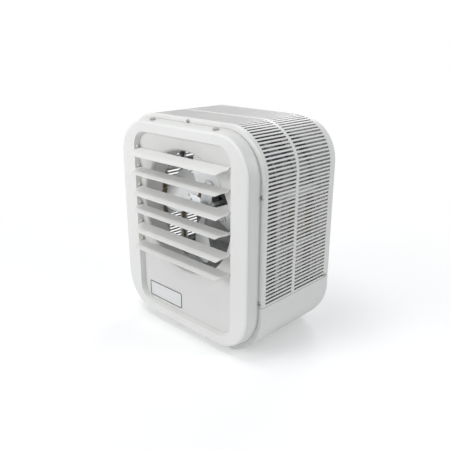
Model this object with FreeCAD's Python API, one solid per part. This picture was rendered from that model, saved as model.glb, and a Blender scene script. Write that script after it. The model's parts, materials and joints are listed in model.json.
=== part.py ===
import FreeCAD, Part
import math
import os

os.makedirs("parts", exist_ok=True)

# Lengths are in millimetres and angles in degrees.
# While the pieces are made, y is 0 on the casing's front flange and grows to the back,
# x is 0 in the middle and z is 0 under the casing.

# Casing sheet
WIDTH = 426.0
HEIGHT = 495.0
DEPTH = 226.0
TOP_RADIUS = 99.0
LOW_RADIUS = 106.0
SHEET = 1.2
BEND = 1.3
NEST_GAP = 0.3
OVERRUN = 5.0

# Seam between the slotted wrap and the plain lower pan
SEAM_HEIGHT = 129.5
SEAM_GAP = 0.4
TONGUE = 4.0
JOGGLE = 4.0
TONGUE_INSET = 6.0

# Inlet slots, in two bands along the depth
SLOT_PITCH = 8.26
SLOT_HEIGHT = 4.2
SLOT_SILL = 4.5
FRONT_MARGIN = 11.0
FRONT_SLOT = 86.5
MIDDLE_BAND = 9.0
REAR_MARGIN = 10.3

# Front bezel
FOOT_INSET = 9.0
FOOT_LOW = 7.8
FOOT_TOP_RADIUS = 92.0
FOOT_LOW_RADIUS = 105.0
FOOT_GAP = 0.3
BEZEL_REACH = 30.6
SIDE_DRAFT = 3.7
LOW_DRAFT = 9.9
SHOULDER_TOP_RADIUS = 84.0
SHOULDER_LOW_RADIUS = 89.0
SHOULDER_DEPTH = 4.5
SHOULDER_INSET = 5.7
FACE_TOP_RADIUS = 80.0
FACE_LOW_RADIUS = 84.0

# Outlet opening in the bezel and its drafted inner wall
OPENING_SIDE = 60.5
OPENING_LOW = 40.5
OPENING_HIGH = 37.1
OPENING_TOP_RADIUS = 36.0
OPENING_LOW_RADIUS = 40.0
EDGE_DEPTH = 5.4
EDGE_INSET = 2.2
WALL_DEPTH = 7.3
WALL_INSET = 2.0
PANEL_LAP = 11.0

# Fan orifice in the outlet panel
ORIFICE_DROP = 167.5
THROAT_RADIUS = 137.0
THROAT_ROLL = 8.0
THROAT_DEPTH = 42.0

# Bare plate on the outlet panel
PLATE_WIDTH = 115.5
PLATE_HEIGHT = 39.0
PLATE_THICKNESS = 0.6
PLATE_CORNER = 4.0
PLATE_SIDE = 17.3
PLATE_RISE = 7.8

# Louvers
LOUVER_TILTS = [16.3, 10.2, 19.9, 7.3, 18.5, 9.4]
LOUVER_DROP = 38.3
LOUVER_PITCH = 44.75
LOUVER_SHEET = 1.0
LOUVER_REACH = 34.0
LOUVER_TAPER = 14.4
LOUVER_SINK = 2.4
LOUVER_HEEL = 0.5
LIP_WIDTH = 11.0
LIP_ANGLE = 14.0
HEM_WIDTH = 5.0
EAR_RADIUS = 3.2
EAR_FOOT = 11.5
EAR_WALL_GAP = 0.9
PIVOT_SETBACK = 4.6
PIVOT_RADIUS = 1.5
PIVOT_CLEARANCE = 0.06
PIVOT_HEAD_RADIUS = 2.2
PIVOT_HEAD = 1.2
EAR_PLAY = 0.3
BUSH_RADIUS = 3.4

# Back panel
RIM_REVEAL = 0.5
BACK_REACH = 17.0
BACK_ROUND = 8.0
CONDUIT_RADIUS = 11.1
CONDUIT_SIDE = 70.0
CONDUIT_HEIGHT = 60.0
BRACKET_HOLE_RADIUS = 3.4
BRACKET_HOLE_DROP = 62.0

# Quarter-inch hanger bolts on top of the bezel
HANGER_INSET = 13.6
HANGER_SETBACK = 16.0
BOLT_RADIUS = 3.175
BOLT_CLEARANCE = 0.2
HEX_FLATS = 11.1
HEX_HEAD = 4.2
HEX_NUT = 5.6
BOLT_LENGTH = 16.0

# Sheet-metal screws
SCREW_RADIUS = 2.1
SCREW_CLEARANCE = 0.15
SCREW_HEAD_RADIUS = 4.0
SCREW_HEAD = 2.6
SCREW_LENGTH = 9.0
SCREW_CHAMFER = 1.2
SCREW_INSET = 5.2
FLANGE_SCREW_DROP = 131.0
FLANGE_SCREW_RISE = 9.5
PAN_SCREW_RISE = 6.0

# Fan
FAN_TIP_GAP = 8.0
FAN_BLADES = 4
FAN_START = 12.0
FAN_PITCH = 24.0
FAN_SETBACK = 46.0
BLADE_SHEET = 1.2
BLADE_CAMBER = 160.0
BLADE_ROOT = 36.0
BLADE_ROOT_HALF = 17.0
BLADE_WAIST = 72.0
BLADE_WAIST_HALF = 42.0
BLADE_TIP_HALF = 50.0
BLADE_CORNER = 16.0
HUB_RADIUS = 15.0
HUB_LENGTH = 30.0
ARM_WIDTH = 26.0
ARM_REACH = 66.0
ARM_SHEET = 2.4
ARM_GAP = 0.1
RIVET_RADIUS = 1.6
RIVET_CLEARANCE = 0.08
RIVET_HEAD_RADIUS = 2.9
RIVET_HEAD = 1.2
RIVET_INNER = 46.0
RIVET_OUTER = 58.0
RIVET_SPREAD = 7.0

# Motor
SHAFT_RADIUS = 6.0
SHAFT_FIT = 0.05
SHAFT_NOSE = 4.0
MOTOR_RADIUS = 60.0
MOTOR_WALL = 2.0
MOTOR_SHELL = 64.0
BELL_DEPTH = 14.0
BELL_PLATE = 3.0
BELL_BOSS_RADIUS = 15.0
BELL_VENTS = 6
VENT_RADIUS = 6.0
VENT_CIRCLE = 26.0
BEARING_RADIUS = 10.0
BEARING_LENGTH = 11.0
STATOR_LENGTH = 44.0
ROTOR_RADIUS = 29.6
AIR_GAP = 0.4
WINDING_LENGTH = 8.0
WINDING_INNER = 36.0
WINDING_OUTER = 53.0
STUD_RADIUS = 2.4
STUD_CIRCLE = 44.0
STUD_SINK = 8.0
STUD_TAIL = 8.0
STUD_NUT_FLATS = 8.0
STUD_NUT = 3.6
STUD_CLEARANCE = 0.1

# Hat-shaped bracket between the motor and the back panel
HAT_DEPTH = 30.0
HAT_HALF = 46.0
HAT_FOOT = 18.0
HAT_SHEET = 1.5
HAT_RISE = 105.0
HAT_SCREW_INSET = 14.0

# Finned elements: sheaths bent as arches, fitted in the divider
ELEMENTS = 3
ELEMENT_FIRST = 76.0
ELEMENT_BACK = 45.8
ELEMENT_INSET = 35.0
ELEMENT_DROP = 47.0
ELEMENT_BEND = 78.0
SHEATH_RADIUS = 4.2
SHEATH_GAP = 0.1
COLD_END = 22.0
TERMINAL_RADIUS = 1.6
TERMINAL_LENGTH = 12.0
FITTING_FLATS = 14.0
FITTING_HEIGHT = 6.0
FITTING_NECK = 5.8

# Element supports: a light frame inside each side, with two combs
SUPPORT_INSET = 17.0
SUPPORT_SHEET = 1.5
SUPPORT_MARGIN = 13.0
SUPPORT_POST = 12.0
SUPPORT_RISE = 240.0
SUPPORT_FOOT = 12.0
COMB_RISES = [112.0, 228.0]
COMB_LIP = 8.0

# Divider over the wiring compartment
DIVIDER_HEIGHT = 118.0
DIVIDER_FRONT = 6.0

# Parts of the wiring compartment
CONTACTOR_INSET = 16.0
CONTACTOR_SETBACK = 70.0
CONTACTOR_WIDTH = 58.0
CONTACTOR_DEPTH = 72.0
CONTACTOR_STEP = 14.0
CONTACTOR_LOW = 30.0
CONTACTOR_HEIGHT = 58.0
CORE_GAP = 13.0
CORE_WIDTH = 52.0
CORE_DEPTH = 30.0
CORE_HEIGHT = 46.0
CORE_LIMB = 11.0
COIL_OVERHANG = 10.0
COIL_ROUND = 4.0
COIL_GAP = 0.3
BLOCK_INSET = 16.0
BLOCK_WIDTH = 30.0
BLOCK_DEPTH = 64.0
BLOCK_BASE = 9.0
BLOCK_HEIGHT = 20.0
BLOCK_POLES = 3
BLOCK_BARRIER = 2.5
BLOCK_BACK = 55.8
LUG_WIDTH = 10.0
LUG_LENGTH = 18.0
LUG_HEIGHT = 9.0
LUG_BORE = 3.2
LUG_INSET = 47.0
LUG_SETBACK = 30.0
CUTOUT_RADIUS = 9.5
CUTOUT_HEIGHT = 10.0
CUTOUT_EAR = 15.0
CUTOUT_PLATE = 1.2
CUTOUT_GAP = 24.0

# Places that several pieces share
SIDE = WIDTH / 2
PANEL_FRONT = EDGE_DEPTH + WALL_DEPTH - BEZEL_REACH
PANEL_BACK = PANEL_FRONT + SHEET
OPENING_HALF = SIDE - OPENING_SIDE
OPENING_TOP = HEIGHT - OPENING_HIGH
RECESS_HALF = OPENING_HALF - EDGE_INSET - WALL_INSET
AXIS_HEIGHT = OPENING_TOP - ORIFICE_DROP
BACK_FACE = DEPTH + BACK_REACH
BACK_INNER = BACK_FACE - SHEET
SLOT_END = DEPTH - REAR_MARGIN
RIM_FRONT = SLOT_END + RIM_REVEAL
RIM_INSET = SHEET + NEST_GAP
DIVIDER_TOP = DIVIDER_HEIGHT + SHEET
FLOOR_HALF = SIDE - LOW_RADIUS
PIVOT_Y = PANEL_FRONT - PIVOT_SETBACK
EAR_OUTER = RECESS_HALF - EAR_WALL_GAP
EAR_INNER = EAR_OUTER - LOUVER_SHEET
HAT_CROWN = BACK_INNER - HAT_DEPTH
MOTOR_REAR = HAT_CROWN
MOTOR_FRONT = MOTOR_REAR - MOTOR_SHELL - BELL_DEPTH - BELL_DEPTH
HANGER_SIDE = SIDE - FOOT_INSET - FOOT_TOP_RADIUS - HANGER_INSET


def vec(x, y, z):
    return FreeCAD.Vector(x, y, z)


def arc(x, z, radius, start, end, y):
    """A circular arc round (x, z) in the plane at y, between two angles."""
    angles = [math.radians(a) for a in (start, (start + end) / 2, end)]
    points = [vec(x + radius * math.cos(a), y, z + radius * math.sin(a)) for a in angles]
    return Part.Arc(*points).toShape()


def outline(half, low, high, low_radius, high_radius, y):
    """A rectangle with rounded corners, standing in the plane at y."""
    line = Part.makeLine
    bottom, top = low + low_radius, high - high_radius
    low_x, high_x = half - low_radius, half - high_radius
    edges = [
        line(vec(-low_x, y, low), vec(low_x, y, low)),
        arc(low_x, bottom, low_radius, -90, 0, y),
        line(vec(half, y, bottom), vec(half, y, top)),
        arc(high_x, top, high_radius, 0, 90, y),
        line(vec(high_x, y, high), vec(-high_x, y, high)),
        arc(-high_x, top, high_radius, 90, 180, y),
        line(vec(-half, y, top), vec(-half, y, bottom)),
        arc(-low_x, bottom, low_radius, 180, 270, y),
    ]
    return Part.Wire(edges)


def casing_outline(inset, y):
    return outline(SIDE - inset, inset, HEIGHT - inset, LOW_RADIUS - inset, TOP_RADIUS - inset, y)


def prism(wire, length):
    return Part.Face(wire).extrude(vec(0, length, 0))


def ruled(wires):
    return Part.makeLoft(wires, True, True)


def block(x0, x1, y0, y1, z0, z1):
    return Part.makeBox(x1 - x0, y1 - y0, z1 - z0, vec(x0, y0, z0))


def rod(radius, start, end):
    return Part.makeCylinder(radius, start.distanceToPoint(end), start, end - start)


def polygon(points, along):
    """A prism on a closed row of points, pushed along a vector."""
    return Part.Face(Part.makePolygon(points + points[:1])).extrude(along)


def hexagon(flats, start, along):
    """A hexagonal prism from a point along a vector, with two flats facing x."""
    radius = flats / math.sqrt(3)
    across = vec(0, 1, 0).cross(along) if abs(along.y) < along.Length / 2 else vec(1, 0, 0)
    across.normalize()
    other = along.cross(across)
    other.normalize()
    turns = [math.radians(30 + 60 * k) for k in range(6)]
    points = [start + across * (radius * math.cos(t)) + other * (radius * math.sin(t)) for t in turns]
    return polygon(points, along)


def turned(points):
    """A solid of revolution round the fan's axis, from (radius, y) points."""
    corners = [vec(r, y, AXIS_HEIGHT) for r, y in points]
    face = Part.Face(Part.makePolygon(corners + corners[:1]))
    return face.revolve(vec(0, 0, AXIS_HEIGHT), vec(0, 1, 0), 360)


def round_axis(shape, angle):
    turn = shape.copy()
    turn.rotate(vec(0, 0, AXIS_HEIGHT), vec(0, 1, 0), angle)
    return turn


def both_sides(shape):
    return [shape, shape.mirror(vec(0, 0, 0), vec(1, 0, 0))]


def front_loop(shape, y):
    """The edges of a prism that lie in the plane at y."""
    return [e for e in shape.Edges if all(abs(v.Y - y) < SHEET / 2 for v in e.Vertexes)]


def rounded_prism(inset, start, end, at, radius):
    """A casing-shaped block with the edges of its face at one y rounded."""
    solid = prism(casing_outline(inset, start), end - start)
    return solid.makeFillet(radius, front_loop(solid, at))


def screw(seat, inward):
    """A pan-head screw: its head stands on the seat and its shank goes inward."""
    direction = inward / inward.Length
    shank = rod(SCREW_RADIUS, seat, seat + direction * SCREW_LENGTH)
    head = rod(SCREW_HEAD_RADIUS, seat, seat - direction * SCREW_HEAD)
    crown = seat - direction * SCREW_HEAD
    rim = [e for e in head.Edges if e.CenterOfMass.distanceToPoint(crown) < SCREW_HEAD / 2]
    return head.makeChamfer(SCREW_CHAMFER, rim).fuse(shank).removeSplitter()


def screw_hole(seat, inward):
    direction = inward / inward.Length
    radius = SCREW_RADIUS + SCREW_CLEARANCE
    return rod(radius, seat - direction * OVERRUN, seat + direction * SCREW_LENGTH)


# Screw places, as a seat and the way in
def flange_screw_places():
    side = SIDE - SCREW_INSET
    heights = [HEIGHT - FLANGE_SCREW_DROP, SEAM_HEIGHT + FLANGE_SCREW_RISE]
    seats = [vec(0, 0, HEIGHT - SCREW_INSET)]
    seats += [vec(x, 0, z) for x in (-side, side) for z in heights]
    return [(seat, vec(0, 1, 0)) for seat in seats]


def pan_screw_places():
    y = (SLOT_END + DEPTH) / 2
    z = SEAM_HEIGHT + PAN_SCREW_RISE
    return [(vec(s * SIDE, y, z), vec(-s, 0, 0)) for s in (-1, 1)]


def hat_screw_places():
    x = HAT_HALF + HAT_FOOT / 2
    rise = HAT_RISE - HAT_SCREW_INSET
    return [(vec(s * x, BACK_FACE, AXIS_HEIGHT + r), vec(0, -1, 0)) for s in (-1, 1) for r in (-rise, rise)]


def drill(shape, places):
    for seat, inward in places:
        shape = shape.cut(screw_hole(seat, inward))
    return shape


# Casing
def casing_shell():
    """The folded sheet round the sides, top and bottom, with its front flange."""
    outer = rounded_prism(0, 0, DEPTH, 0, BEND + SHEET)
    inner = rounded_prism(SHEET, SHEET, DEPTH + OVERRUN, SHEET, BEND)
    mouth = outline(SIDE - FOOT_INSET, FOOT_LOW, HEIGHT - FOOT_INSET,
                    FOOT_LOW_RADIUS, FOOT_TOP_RADIUS, -OVERRUN)
    shell = outer.cut(inner).cut(prism(mouth, OVERRUN + OVERRUN))
    return drill(shell, flange_screw_places() + pan_screw_places())


def slot_place(run):
    """A point on the casing's outline and its outward angle, at a run from the top's middle."""
    side = 1 if run >= 0 else -1
    left = abs(run)
    flat = SIDE - TOP_RADIUS
    bend = TOP_RADIUS * math.pi / 2
    if left <= flat:
        return run, HEIGHT, 90
    if left <= flat + bend:
        angle = math.pi / 2 - (left - flat) / TOP_RADIUS
        x = flat + TOP_RADIUS * math.cos(angle)
        z = HEIGHT - TOP_RADIUS + TOP_RADIUS * math.sin(angle)
        return side * x, z, 90 + side * (math.degrees(angle) - 90)
    return side * SIDE, HEIGHT - TOP_RADIUS - (left - flat - bend), 90 - 90 * side


def slot_cutters():
    rear_start = FRONT_MARGIN + FRONT_SLOT + MIDDLE_BAND
    bands = [(FRONT_MARGIN, FRONT_MARGIN + FRONT_SLOT), (rear_start, SLOT_END)]
    flank = HEIGHT - TOP_RADIUS - SEAM_HEIGHT - SLOT_SILL
    half_run = SIDE - TOP_RADIUS + TOP_RADIUS * math.pi / 2 + flank
    count = int((half_run - SLOT_HEIGHT / 2) / SLOT_PITCH)
    cutters = []
    for k in range(-count, count + 1):
        x, z, angle = slot_place(k * SLOT_PITCH)
        for start, end in bands:
            cutter = block(-OVERRUN, OVERRUN, start, end, -SLOT_HEIGHT / 2, SLOT_HEIGHT / 2)
            cutter.rotate(vec(0, 0, 0), vec(0, 1, 0), -angle)
            cutter.translate(vec(x, 0, z))
            cutters.append(cutter)
    return cutters


def inlet_wrap(shell):
    keep = block(-WIDTH, WIDTH, -DEPTH, DEPTH + DEPTH, SEAM_HEIGHT + SEAM_GAP / 2, HEIGHT + OVERRUN)
    return shell.common(keep).cut(Part.makeCompound(slot_cutters()))


def lower_pan(shell):
    keep = block(-WIDTH, WIDTH, -DEPTH, DEPTH + DEPTH, -OVERRUN, SEAM_HEIGHT - SEAM_GAP / 2)
    edge = SIDE - SHEET
    outer, inner = edge - NEST_GAP, edge - NEST_GAP - SHEET
    top = SEAM_HEIGHT - SEAM_GAP / 2
    start, end = TONGUE_INSET, RIM_FRONT - TONGUE_INSET
    profile = [
        (edge, top - JOGGLE - JOGGLE), (inner, top - JOGGLE), (inner, SEAM_HEIGHT + TONGUE),
        (outer, SEAM_HEIGHT + TONGUE), (outer, top), (edge, top),
    ]
    tongue = polygon([vec(x, start, z) for x, z in profile], vec(0, end - start, 0))
    return shell.common(keep).fuse(both_sides(tongue)).removeSplitter()


def back_panel():
    """A shallow pan with a rounded rim, slipped inside the casing's rear edge."""
    outer = rounded_prism(RIM_INSET, RIM_FRONT, BACK_FACE, BACK_FACE, BACK_ROUND + SHEET)
    inner = rounded_prism(RIM_INSET + SHEET, RIM_FRONT - OVERRUN, BACK_INNER, BACK_INNER, BACK_ROUND)
    pan = drill(outer.cut(inner), pan_screw_places() + hat_screw_places())
    holes = [(CONDUIT_RADIUS, CONDUIT_SIDE, CONDUIT_HEIGHT)]
    holes += [(BRACKET_HOLE_RADIUS, s * HANGER_SIDE, HEIGHT - BRACKET_HOLE_DROP) for s in (-1, 1)]
    for radius, x, z in holes:
        pan = pan.cut(rod(radius, vec(x, BACK_INNER - OVERRUN, z), vec(x, BACK_FACE + OVERRUN, z)))
    return pan


# Front
def bezel_skin(offset):
    """The bezel's outer form, or the hollow one sheet inside it."""
    foot = FOOT_INSET + FOOT_GAP
    low = FOOT_LOW + FOOT_GAP
    bevel_share = 1 - math.cos(math.radians(45))
    rise_share = math.sin(math.radians(45))
    shoulder = SHOULDER_DEPTH - BEZEL_REACH
    rear = SHEET + SHEET + (OVERRUN if offset else 0)
    levels = [
        (0, 0, FOOT_LOW_RADIUS, FOOT_TOP_RADIUS, rear),
        (0, 0, FOOT_LOW_RADIUS, FOOT_TOP_RADIUS, offset),
        (SIDE_DRAFT, LOW_DRAFT, SHOULDER_LOW_RADIUS, SHOULDER_TOP_RADIUS, shoulder + offset),
        (SIDE_DRAFT + SHOULDER_INSET * bevel_share, LOW_DRAFT + SHOULDER_INSET * bevel_share,
         (SHOULDER_LOW_RADIUS + FACE_LOW_RADIUS) / 2, (SHOULDER_TOP_RADIUS + FACE_TOP_RADIUS) / 2,
         shoulder - SHOULDER_DEPTH * rise_share + offset),
        (SIDE_DRAFT + SHOULDER_INSET, LOW_DRAFT + SHOULDER_INSET, FACE_LOW_RADIUS, FACE_TOP_RADIUS,
         offset - BEZEL_REACH),
    ]
    wires = []
    for inset, rise, low_radius, top_radius, y in levels:
        half = SIDE - foot - inset - offset
        top = HEIGHT - foot - inset - offset
        wires.append(outline(half, low + rise + offset, top, low_radius - offset, top_radius - offset, y))
    return ruled(wires)


def opening(offset, front, rear):
    """The outlet opening as a solid, grown by an offset, from the face to the panel."""
    face = -BEZEL_REACH
    levels = [(0, face), (EDGE_INSET, face + EDGE_DEPTH), (EDGE_INSET + WALL_INSET, PANEL_FRONT)]
    levels = [(0, face - front)] * (front > 0) + levels
    levels += [(EDGE_INSET + WALL_INSET, PANEL_FRONT + rear)] * (rear > 0)
    wires = []
    for inset, y in levels:
        grow = offset - inset
        wires.append(outline(OPENING_HALF + grow, OPENING_LOW - grow, OPENING_TOP + grow,
                             OPENING_LOW_RADIUS + grow, OPENING_TOP_RADIUS + grow, y))
    return ruled(wires)


def lap_plate(y):
    """The flat sheet shape that laps round the foot of the opening's wall."""
    grow = PANEL_LAP - EDGE_INSET - WALL_INSET
    wire = outline(OPENING_HALF + grow, OPENING_LOW - grow, OPENING_TOP + grow,
                   OPENING_LOW_RADIUS + grow, OPENING_TOP_RADIUS + grow, y)
    return prism(wire, SHEET)


def louver_heights():
    return [OPENING_TOP - LOUVER_DROP - k * LOUVER_PITCH for k in range(len(LOUVER_TILTS))]


def hanger_frame():
    """Seat of the right hanger bolt on the bezel's sloping top wall, and the wall's outward normal."""
    run = BEZEL_REACH - SHOULDER_DEPTH
    fall = SIDE_DRAFT * HANGER_SETBACK / run
    normal = vec(0, -SIDE_DRAFT, run)
    normal.normalize()
    return vec(HANGER_SIDE, -HANGER_SETBACK, HEIGHT - FOOT_INSET - FOOT_GAP - fall), normal


def front_bezel():
    shell = bezel_skin(0).cut(bezel_skin(SHEET))
    edge = SHEET + BEND + NEST_GAP
    flange = prism(casing_outline(edge, SHEET), SHEET).cut(bezel_skin(SHEET))
    wall = opening(SHEET, 0, 0)
    bezel = shell.fuse([flange, wall, lap_plate(PANEL_FRONT - SHEET)])
    bezel = bezel.cut(opening(0, OVERRUN, OVERRUN))
    reach = RECESS_HALF + PANEL_LAP
    pivots = [rod(PIVOT_RADIUS + PIVOT_CLEARANCE, vec(-reach, PIVOT_Y, z), vec(reach, PIVOT_Y, z))
              for z in louver_heights()]
    seat, normal = hanger_frame()
    hole = rod(BOLT_RADIUS + BOLT_CLEARANCE, seat - normal * OVERRUN, seat + normal * OVERRUN)
    bezel = bezel.cut(pivots + both_sides(hole))
    return drill(bezel, flange_screw_places()).removeSplitter()


def outlet_panel():
    """The recessed panel with its rolled orifice and throat."""
    tangent = THROAT_RADIUS + THROAT_ROLL
    middle = vec(tangent, PANEL_FRONT + THROAT_ROLL, AXIS_HEIGHT)

    def rolled(radius):
        angles = [math.radians(a) for a in (270, 225, 180)]
        points = [middle + vec(radius * math.cos(a), radius * math.sin(a), 0) for a in angles]
        return Part.Arc(*points).toShape()

    end = PANEL_FRONT + THROAT_ROLL + THROAT_DEPTH
    front, rear = rolled(THROAT_ROLL), rolled(THROAT_ROLL - SHEET)
    rim = [vec(THROAT_RADIUS, end, AXIS_HEIGHT), vec(THROAT_RADIUS + SHEET, end, AXIS_HEIGHT)]
    line = Part.makeLine
    profile = Part.Wire([front, line(front.lastVertex().Point, rim[0]), line(*rim),
                         line(rim[1], rear.lastVertex().Point), rear,
                         line(rear.firstVertex().Point, front.firstVertex().Point)])
    throat = Part.Face(profile).revolve(vec(0, 0, AXIS_HEIGHT), vec(0, 1, 0), 360)
    hole = rod(tangent, vec(0, PANEL_FRONT - OVERRUN, AXIS_HEIGHT),
               vec(0, PANEL_BACK + OVERRUN, AXIS_HEIGHT))
    return lap_plate(PANEL_FRONT).cut(hole).fuse(throat).removeSplitter()


def rating_plate():
    left = PLATE_SIDE - RECESS_HALF
    low = OPENING_LOW + EDGE_INSET + WALL_INSET + PLATE_RISE
    wire = outline(PLATE_WIDTH / 2, low, low + PLATE_HEIGHT, PLATE_CORNER, PLATE_CORNER, 0)
    plate = prism(wire, PLATE_THICKNESS)
    plate.translate(vec(left + PLATE_WIDTH / 2, PANEL_FRONT - PLATE_THICKNESS, 0))
    return plate


# Louvers
def louver_blank():
    """One blade with its pivot axis on the x axis, level, and its front towards -y."""
    top = -LOUVER_SINK
    under = top - LOUVER_SHEET
    crease = LOUVER_REACH - LIP_WIDTH
    fall = LIP_WIDTH * math.tan(math.radians(LIP_ANGLE))
    hem = LOUVER_HEEL + HEM_WIDTH
    profile = [
        (LOUVER_HEEL, top), (crease, top), (LOUVER_REACH, top - fall), (LOUVER_REACH, under - fall),
        (crease, under), (hem, under), (hem, under - LOUVER_SHEET), (LOUVER_HEEL, under - LOUVER_SHEET),
    ]
    blade = polygon([vec(-EAR_OUTER, -u, w) for u, w in profile], vec(EAR_OUTER + EAR_OUTER, 0, 0))
    corner = [(EAR_OUTER, EAR_FOOT), (EAR_OUTER - LOUVER_TAPER, LOUVER_REACH),
              (EAR_OUTER - LOUVER_TAPER, LOUVER_REACH + OVERRUN),
              (EAR_OUTER + OVERRUN, LOUVER_REACH + OVERRUN), (EAR_OUTER + OVERRUN, EAR_FOOT)]
    taper = polygon([vec(x, -u, -LOUVER_REACH) for x, u in corner], vec(0, 0, LOUVER_REACH + LOUVER_REACH))
    ear = rod(EAR_RADIUS, vec(EAR_INNER, 0, 0), vec(EAR_OUTER, 0, 0))
    cheek_share = math.sin(math.radians(45))
    cheek = [(LOUVER_HEEL, under), (EAR_FOOT, under), (EAR_FOOT, top),
             (EAR_RADIUS * cheek_share, EAR_RADIUS * cheek_share), (0, 0)]
    web = polygon([vec(EAR_INNER, -u, w) for u, w in cheek], vec(LOUVER_SHEET, 0, 0))
    hole = rod(PIVOT_RADIUS + PIVOT_CLEARANCE, vec(-SIDE, 0, 0), vec(SIDE, 0, 0))
    blade = blade.fuse(both_sides(ear.fuse(web)))
    return blade.cut(both_sides(taper) + [hole]).removeSplitter()


def louvers():
    blank = louver_blank()
    blades = []
    for tilt, z in zip(LOUVER_TILTS, louver_heights()):
        blade = blank.copy()
        blade.rotate(vec(0, 0, 0), vec(1, 0, 0), tilt)
        blade.translate(vec(0, PIVOT_Y, z))
        blades.append(blade)
    return blades


def louver_rivets():
    """Pivot rivets that run from inside each ear through the bezel's wall."""
    start = EAR_INNER - EAR_PLAY
    wall = RECESS_HALF + WALL_INSET + EDGE_INSET + SHEET
    rivets = []
    for z in louver_heights():
        def at(x):
            return vec(x, PIVOT_Y, z)
        head = rod(PIVOT_HEAD_RADIUS, at(start - PIVOT_HEAD), at(start))
        shank = rod(PIVOT_RADIUS, at(start), at(wall))
        tail = rod(PIVOT_HEAD_RADIUS, at(wall), at(wall + PIVOT_HEAD))
        rivets += both_sides(head.fuse([shank, tail]).removeSplitter())
    return Part.makeCompound(rivets)


def louver_bushes():
    """Friction bushes between the ears and the bezel's drafted wall."""
    start = EAR_OUTER + EAR_PLAY
    end = RECESS_HALF + WALL_INSET + EDGE_INSET
    recess = opening(0, 0, 0)
    bushes = []
    for z in louver_heights():
        bush = rod(BUSH_RADIUS, vec(start, PIVOT_Y, z), vec(end, PIVOT_Y, z)).common(recess)
        bore = rod(PIVOT_RADIUS + PIVOT_CLEARANCE, vec(0, PIVOT_Y, z), vec(SIDE, PIVOT_Y, z))
        bushes += both_sides(bush.cut(bore))
    return Part.makeCompound(bushes)


# Fasteners
def screws(places):
    return Part.makeCompound([screw(seat, inward) for seat, inward in places])


def hanger_bolts():
    seat, normal = hanger_frame()
    head = hexagon(HEX_FLATS, seat, normal * HEX_HEAD)
    shank = rod(BOLT_RADIUS, seat, seat - normal * BOLT_LENGTH)
    return Part.makeCompound(both_sides(head.fuse(shank).removeSplitter()))


def hanger_nuts():
    seat, normal = hanger_frame()
    run = BEZEL_REACH - SHOULDER_DEPTH
    wall = SHEET * (run + SIDE_DRAFT) / math.hypot(run, SIDE_DRAFT)
    under = seat - normal * wall
    nut = hexagon(HEX_FLATS, under, normal * -HEX_NUT)
    bore = rod(BOLT_RADIUS + PIVOT_CLEARANCE, seat, seat - normal * (BOLT_LENGTH + OVERRUN))
    return Part.makeCompound(both_sides(nut.cut(bore)))


# Fan
def blade_outline():
    """The paddle's front view, for the blade that points to +x."""
    tip = THROAT_RADIUS - FAN_TIP_GAP
    half = [(BLADE_ROOT, BLADE_ROOT_HALF), (BLADE_WAIST, BLADE_WAIST_HALF), (tip + OVERRUN, BLADE_TIP_HALF)]
    points = [(x, -t) for x, t in half] + half[::-1]
    base = [vec(x, -BLADE_WAIST, t) for x, t in points]
    paddle = polygon(base, vec(0, BLADE_WAIST + BLADE_WAIST, 0))
    paddle = paddle.common(rod(tip, vec(0, -BLADE_WAIST, 0), vec(0, BLADE_WAIST, 0)))
    corners = [e for e in paddle.Edges
               if e.BoundBox.YLength > BLADE_WAIST and e.CenterOfMass.x > BLADE_WAIST + OVERRUN]
    return paddle.makeFillet(BLADE_CORNER, corners)


def pitched(shape):
    turn = shape.copy()
    turn.rotate(vec(0, 0, 0), vec(1, 0, 0), FAN_PITCH)
    return turn


def rivet_places():
    return [(RIVET_INNER, 0), (RIVET_OUTER, -RIVET_SPREAD), (RIVET_OUTER, RIVET_SPREAD)]


def rivet_rods(radius, start, end):
    return [rod(radius, vec(r, start, t), vec(r, end, t)) for r, t in rivet_places()]


def fan_set(shape):
    """Copies of a piece of the +x blade, set round the fan's axis."""
    copies = []
    for k in range(FAN_BLADES):
        copy = shape.copy()
        copy.translate(vec(0, FAN_SETBACK, AXIS_HEIGHT))
        copies.append(round_axis(copy, FAN_START + 360 * k / FAN_BLADES))
    return copies


def fan_blades():
    """Cambered paddles: a slice of tube, trimmed by the paddle's outline."""
    ends = vec(0, BLADE_CAMBER, 0), vec(THROAT_RADIUS, BLADE_CAMBER, 0)
    tube = rod(BLADE_CAMBER, *ends).cut(rod(BLADE_CAMBER - BLADE_SHEET, *ends))
    blade = pitched(tube).common(blade_outline())
    holes = [pitched(h) for h in rivet_rods(RIVET_RADIUS + RIVET_CLEARANCE, -OVERRUN, OVERRUN)]
    return Part.makeCompound(fan_set(blade.cut(holes)))


def fan_spider():
    """Hub with one riveting arm for each blade."""
    half = ARM_WIDTH / 2
    rear = -ARM_GAP
    front = rear - ARM_SHEET
    arm = block(0, ARM_REACH - half, front, rear, -half, half)
    arm = arm.fuse(rod(half, vec(ARM_REACH - half, front, 0), vec(ARM_REACH - half, rear, 0)))
    holes = rivet_rods(RIVET_RADIUS + RIVET_CLEARANCE, -OVERRUN, OVERRUN)
    arms = fan_set(pitched(arm.cut(holes)))
    start, end = FAN_SETBACK - HUB_LENGTH / 2, FAN_SETBACK + HUB_LENGTH / 2
    hub = rod(HUB_RADIUS, vec(0, start, AXIS_HEIGHT), vec(0, end, AXIS_HEIGHT))
    bore = rod(SHAFT_RADIUS + SHAFT_FIT, vec(0, start - OVERRUN, AXIS_HEIGHT),
               vec(0, end + OVERRUN, AXIS_HEIGHT))
    return hub.fuse(arms).cut(bore).removeSplitter()


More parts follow.
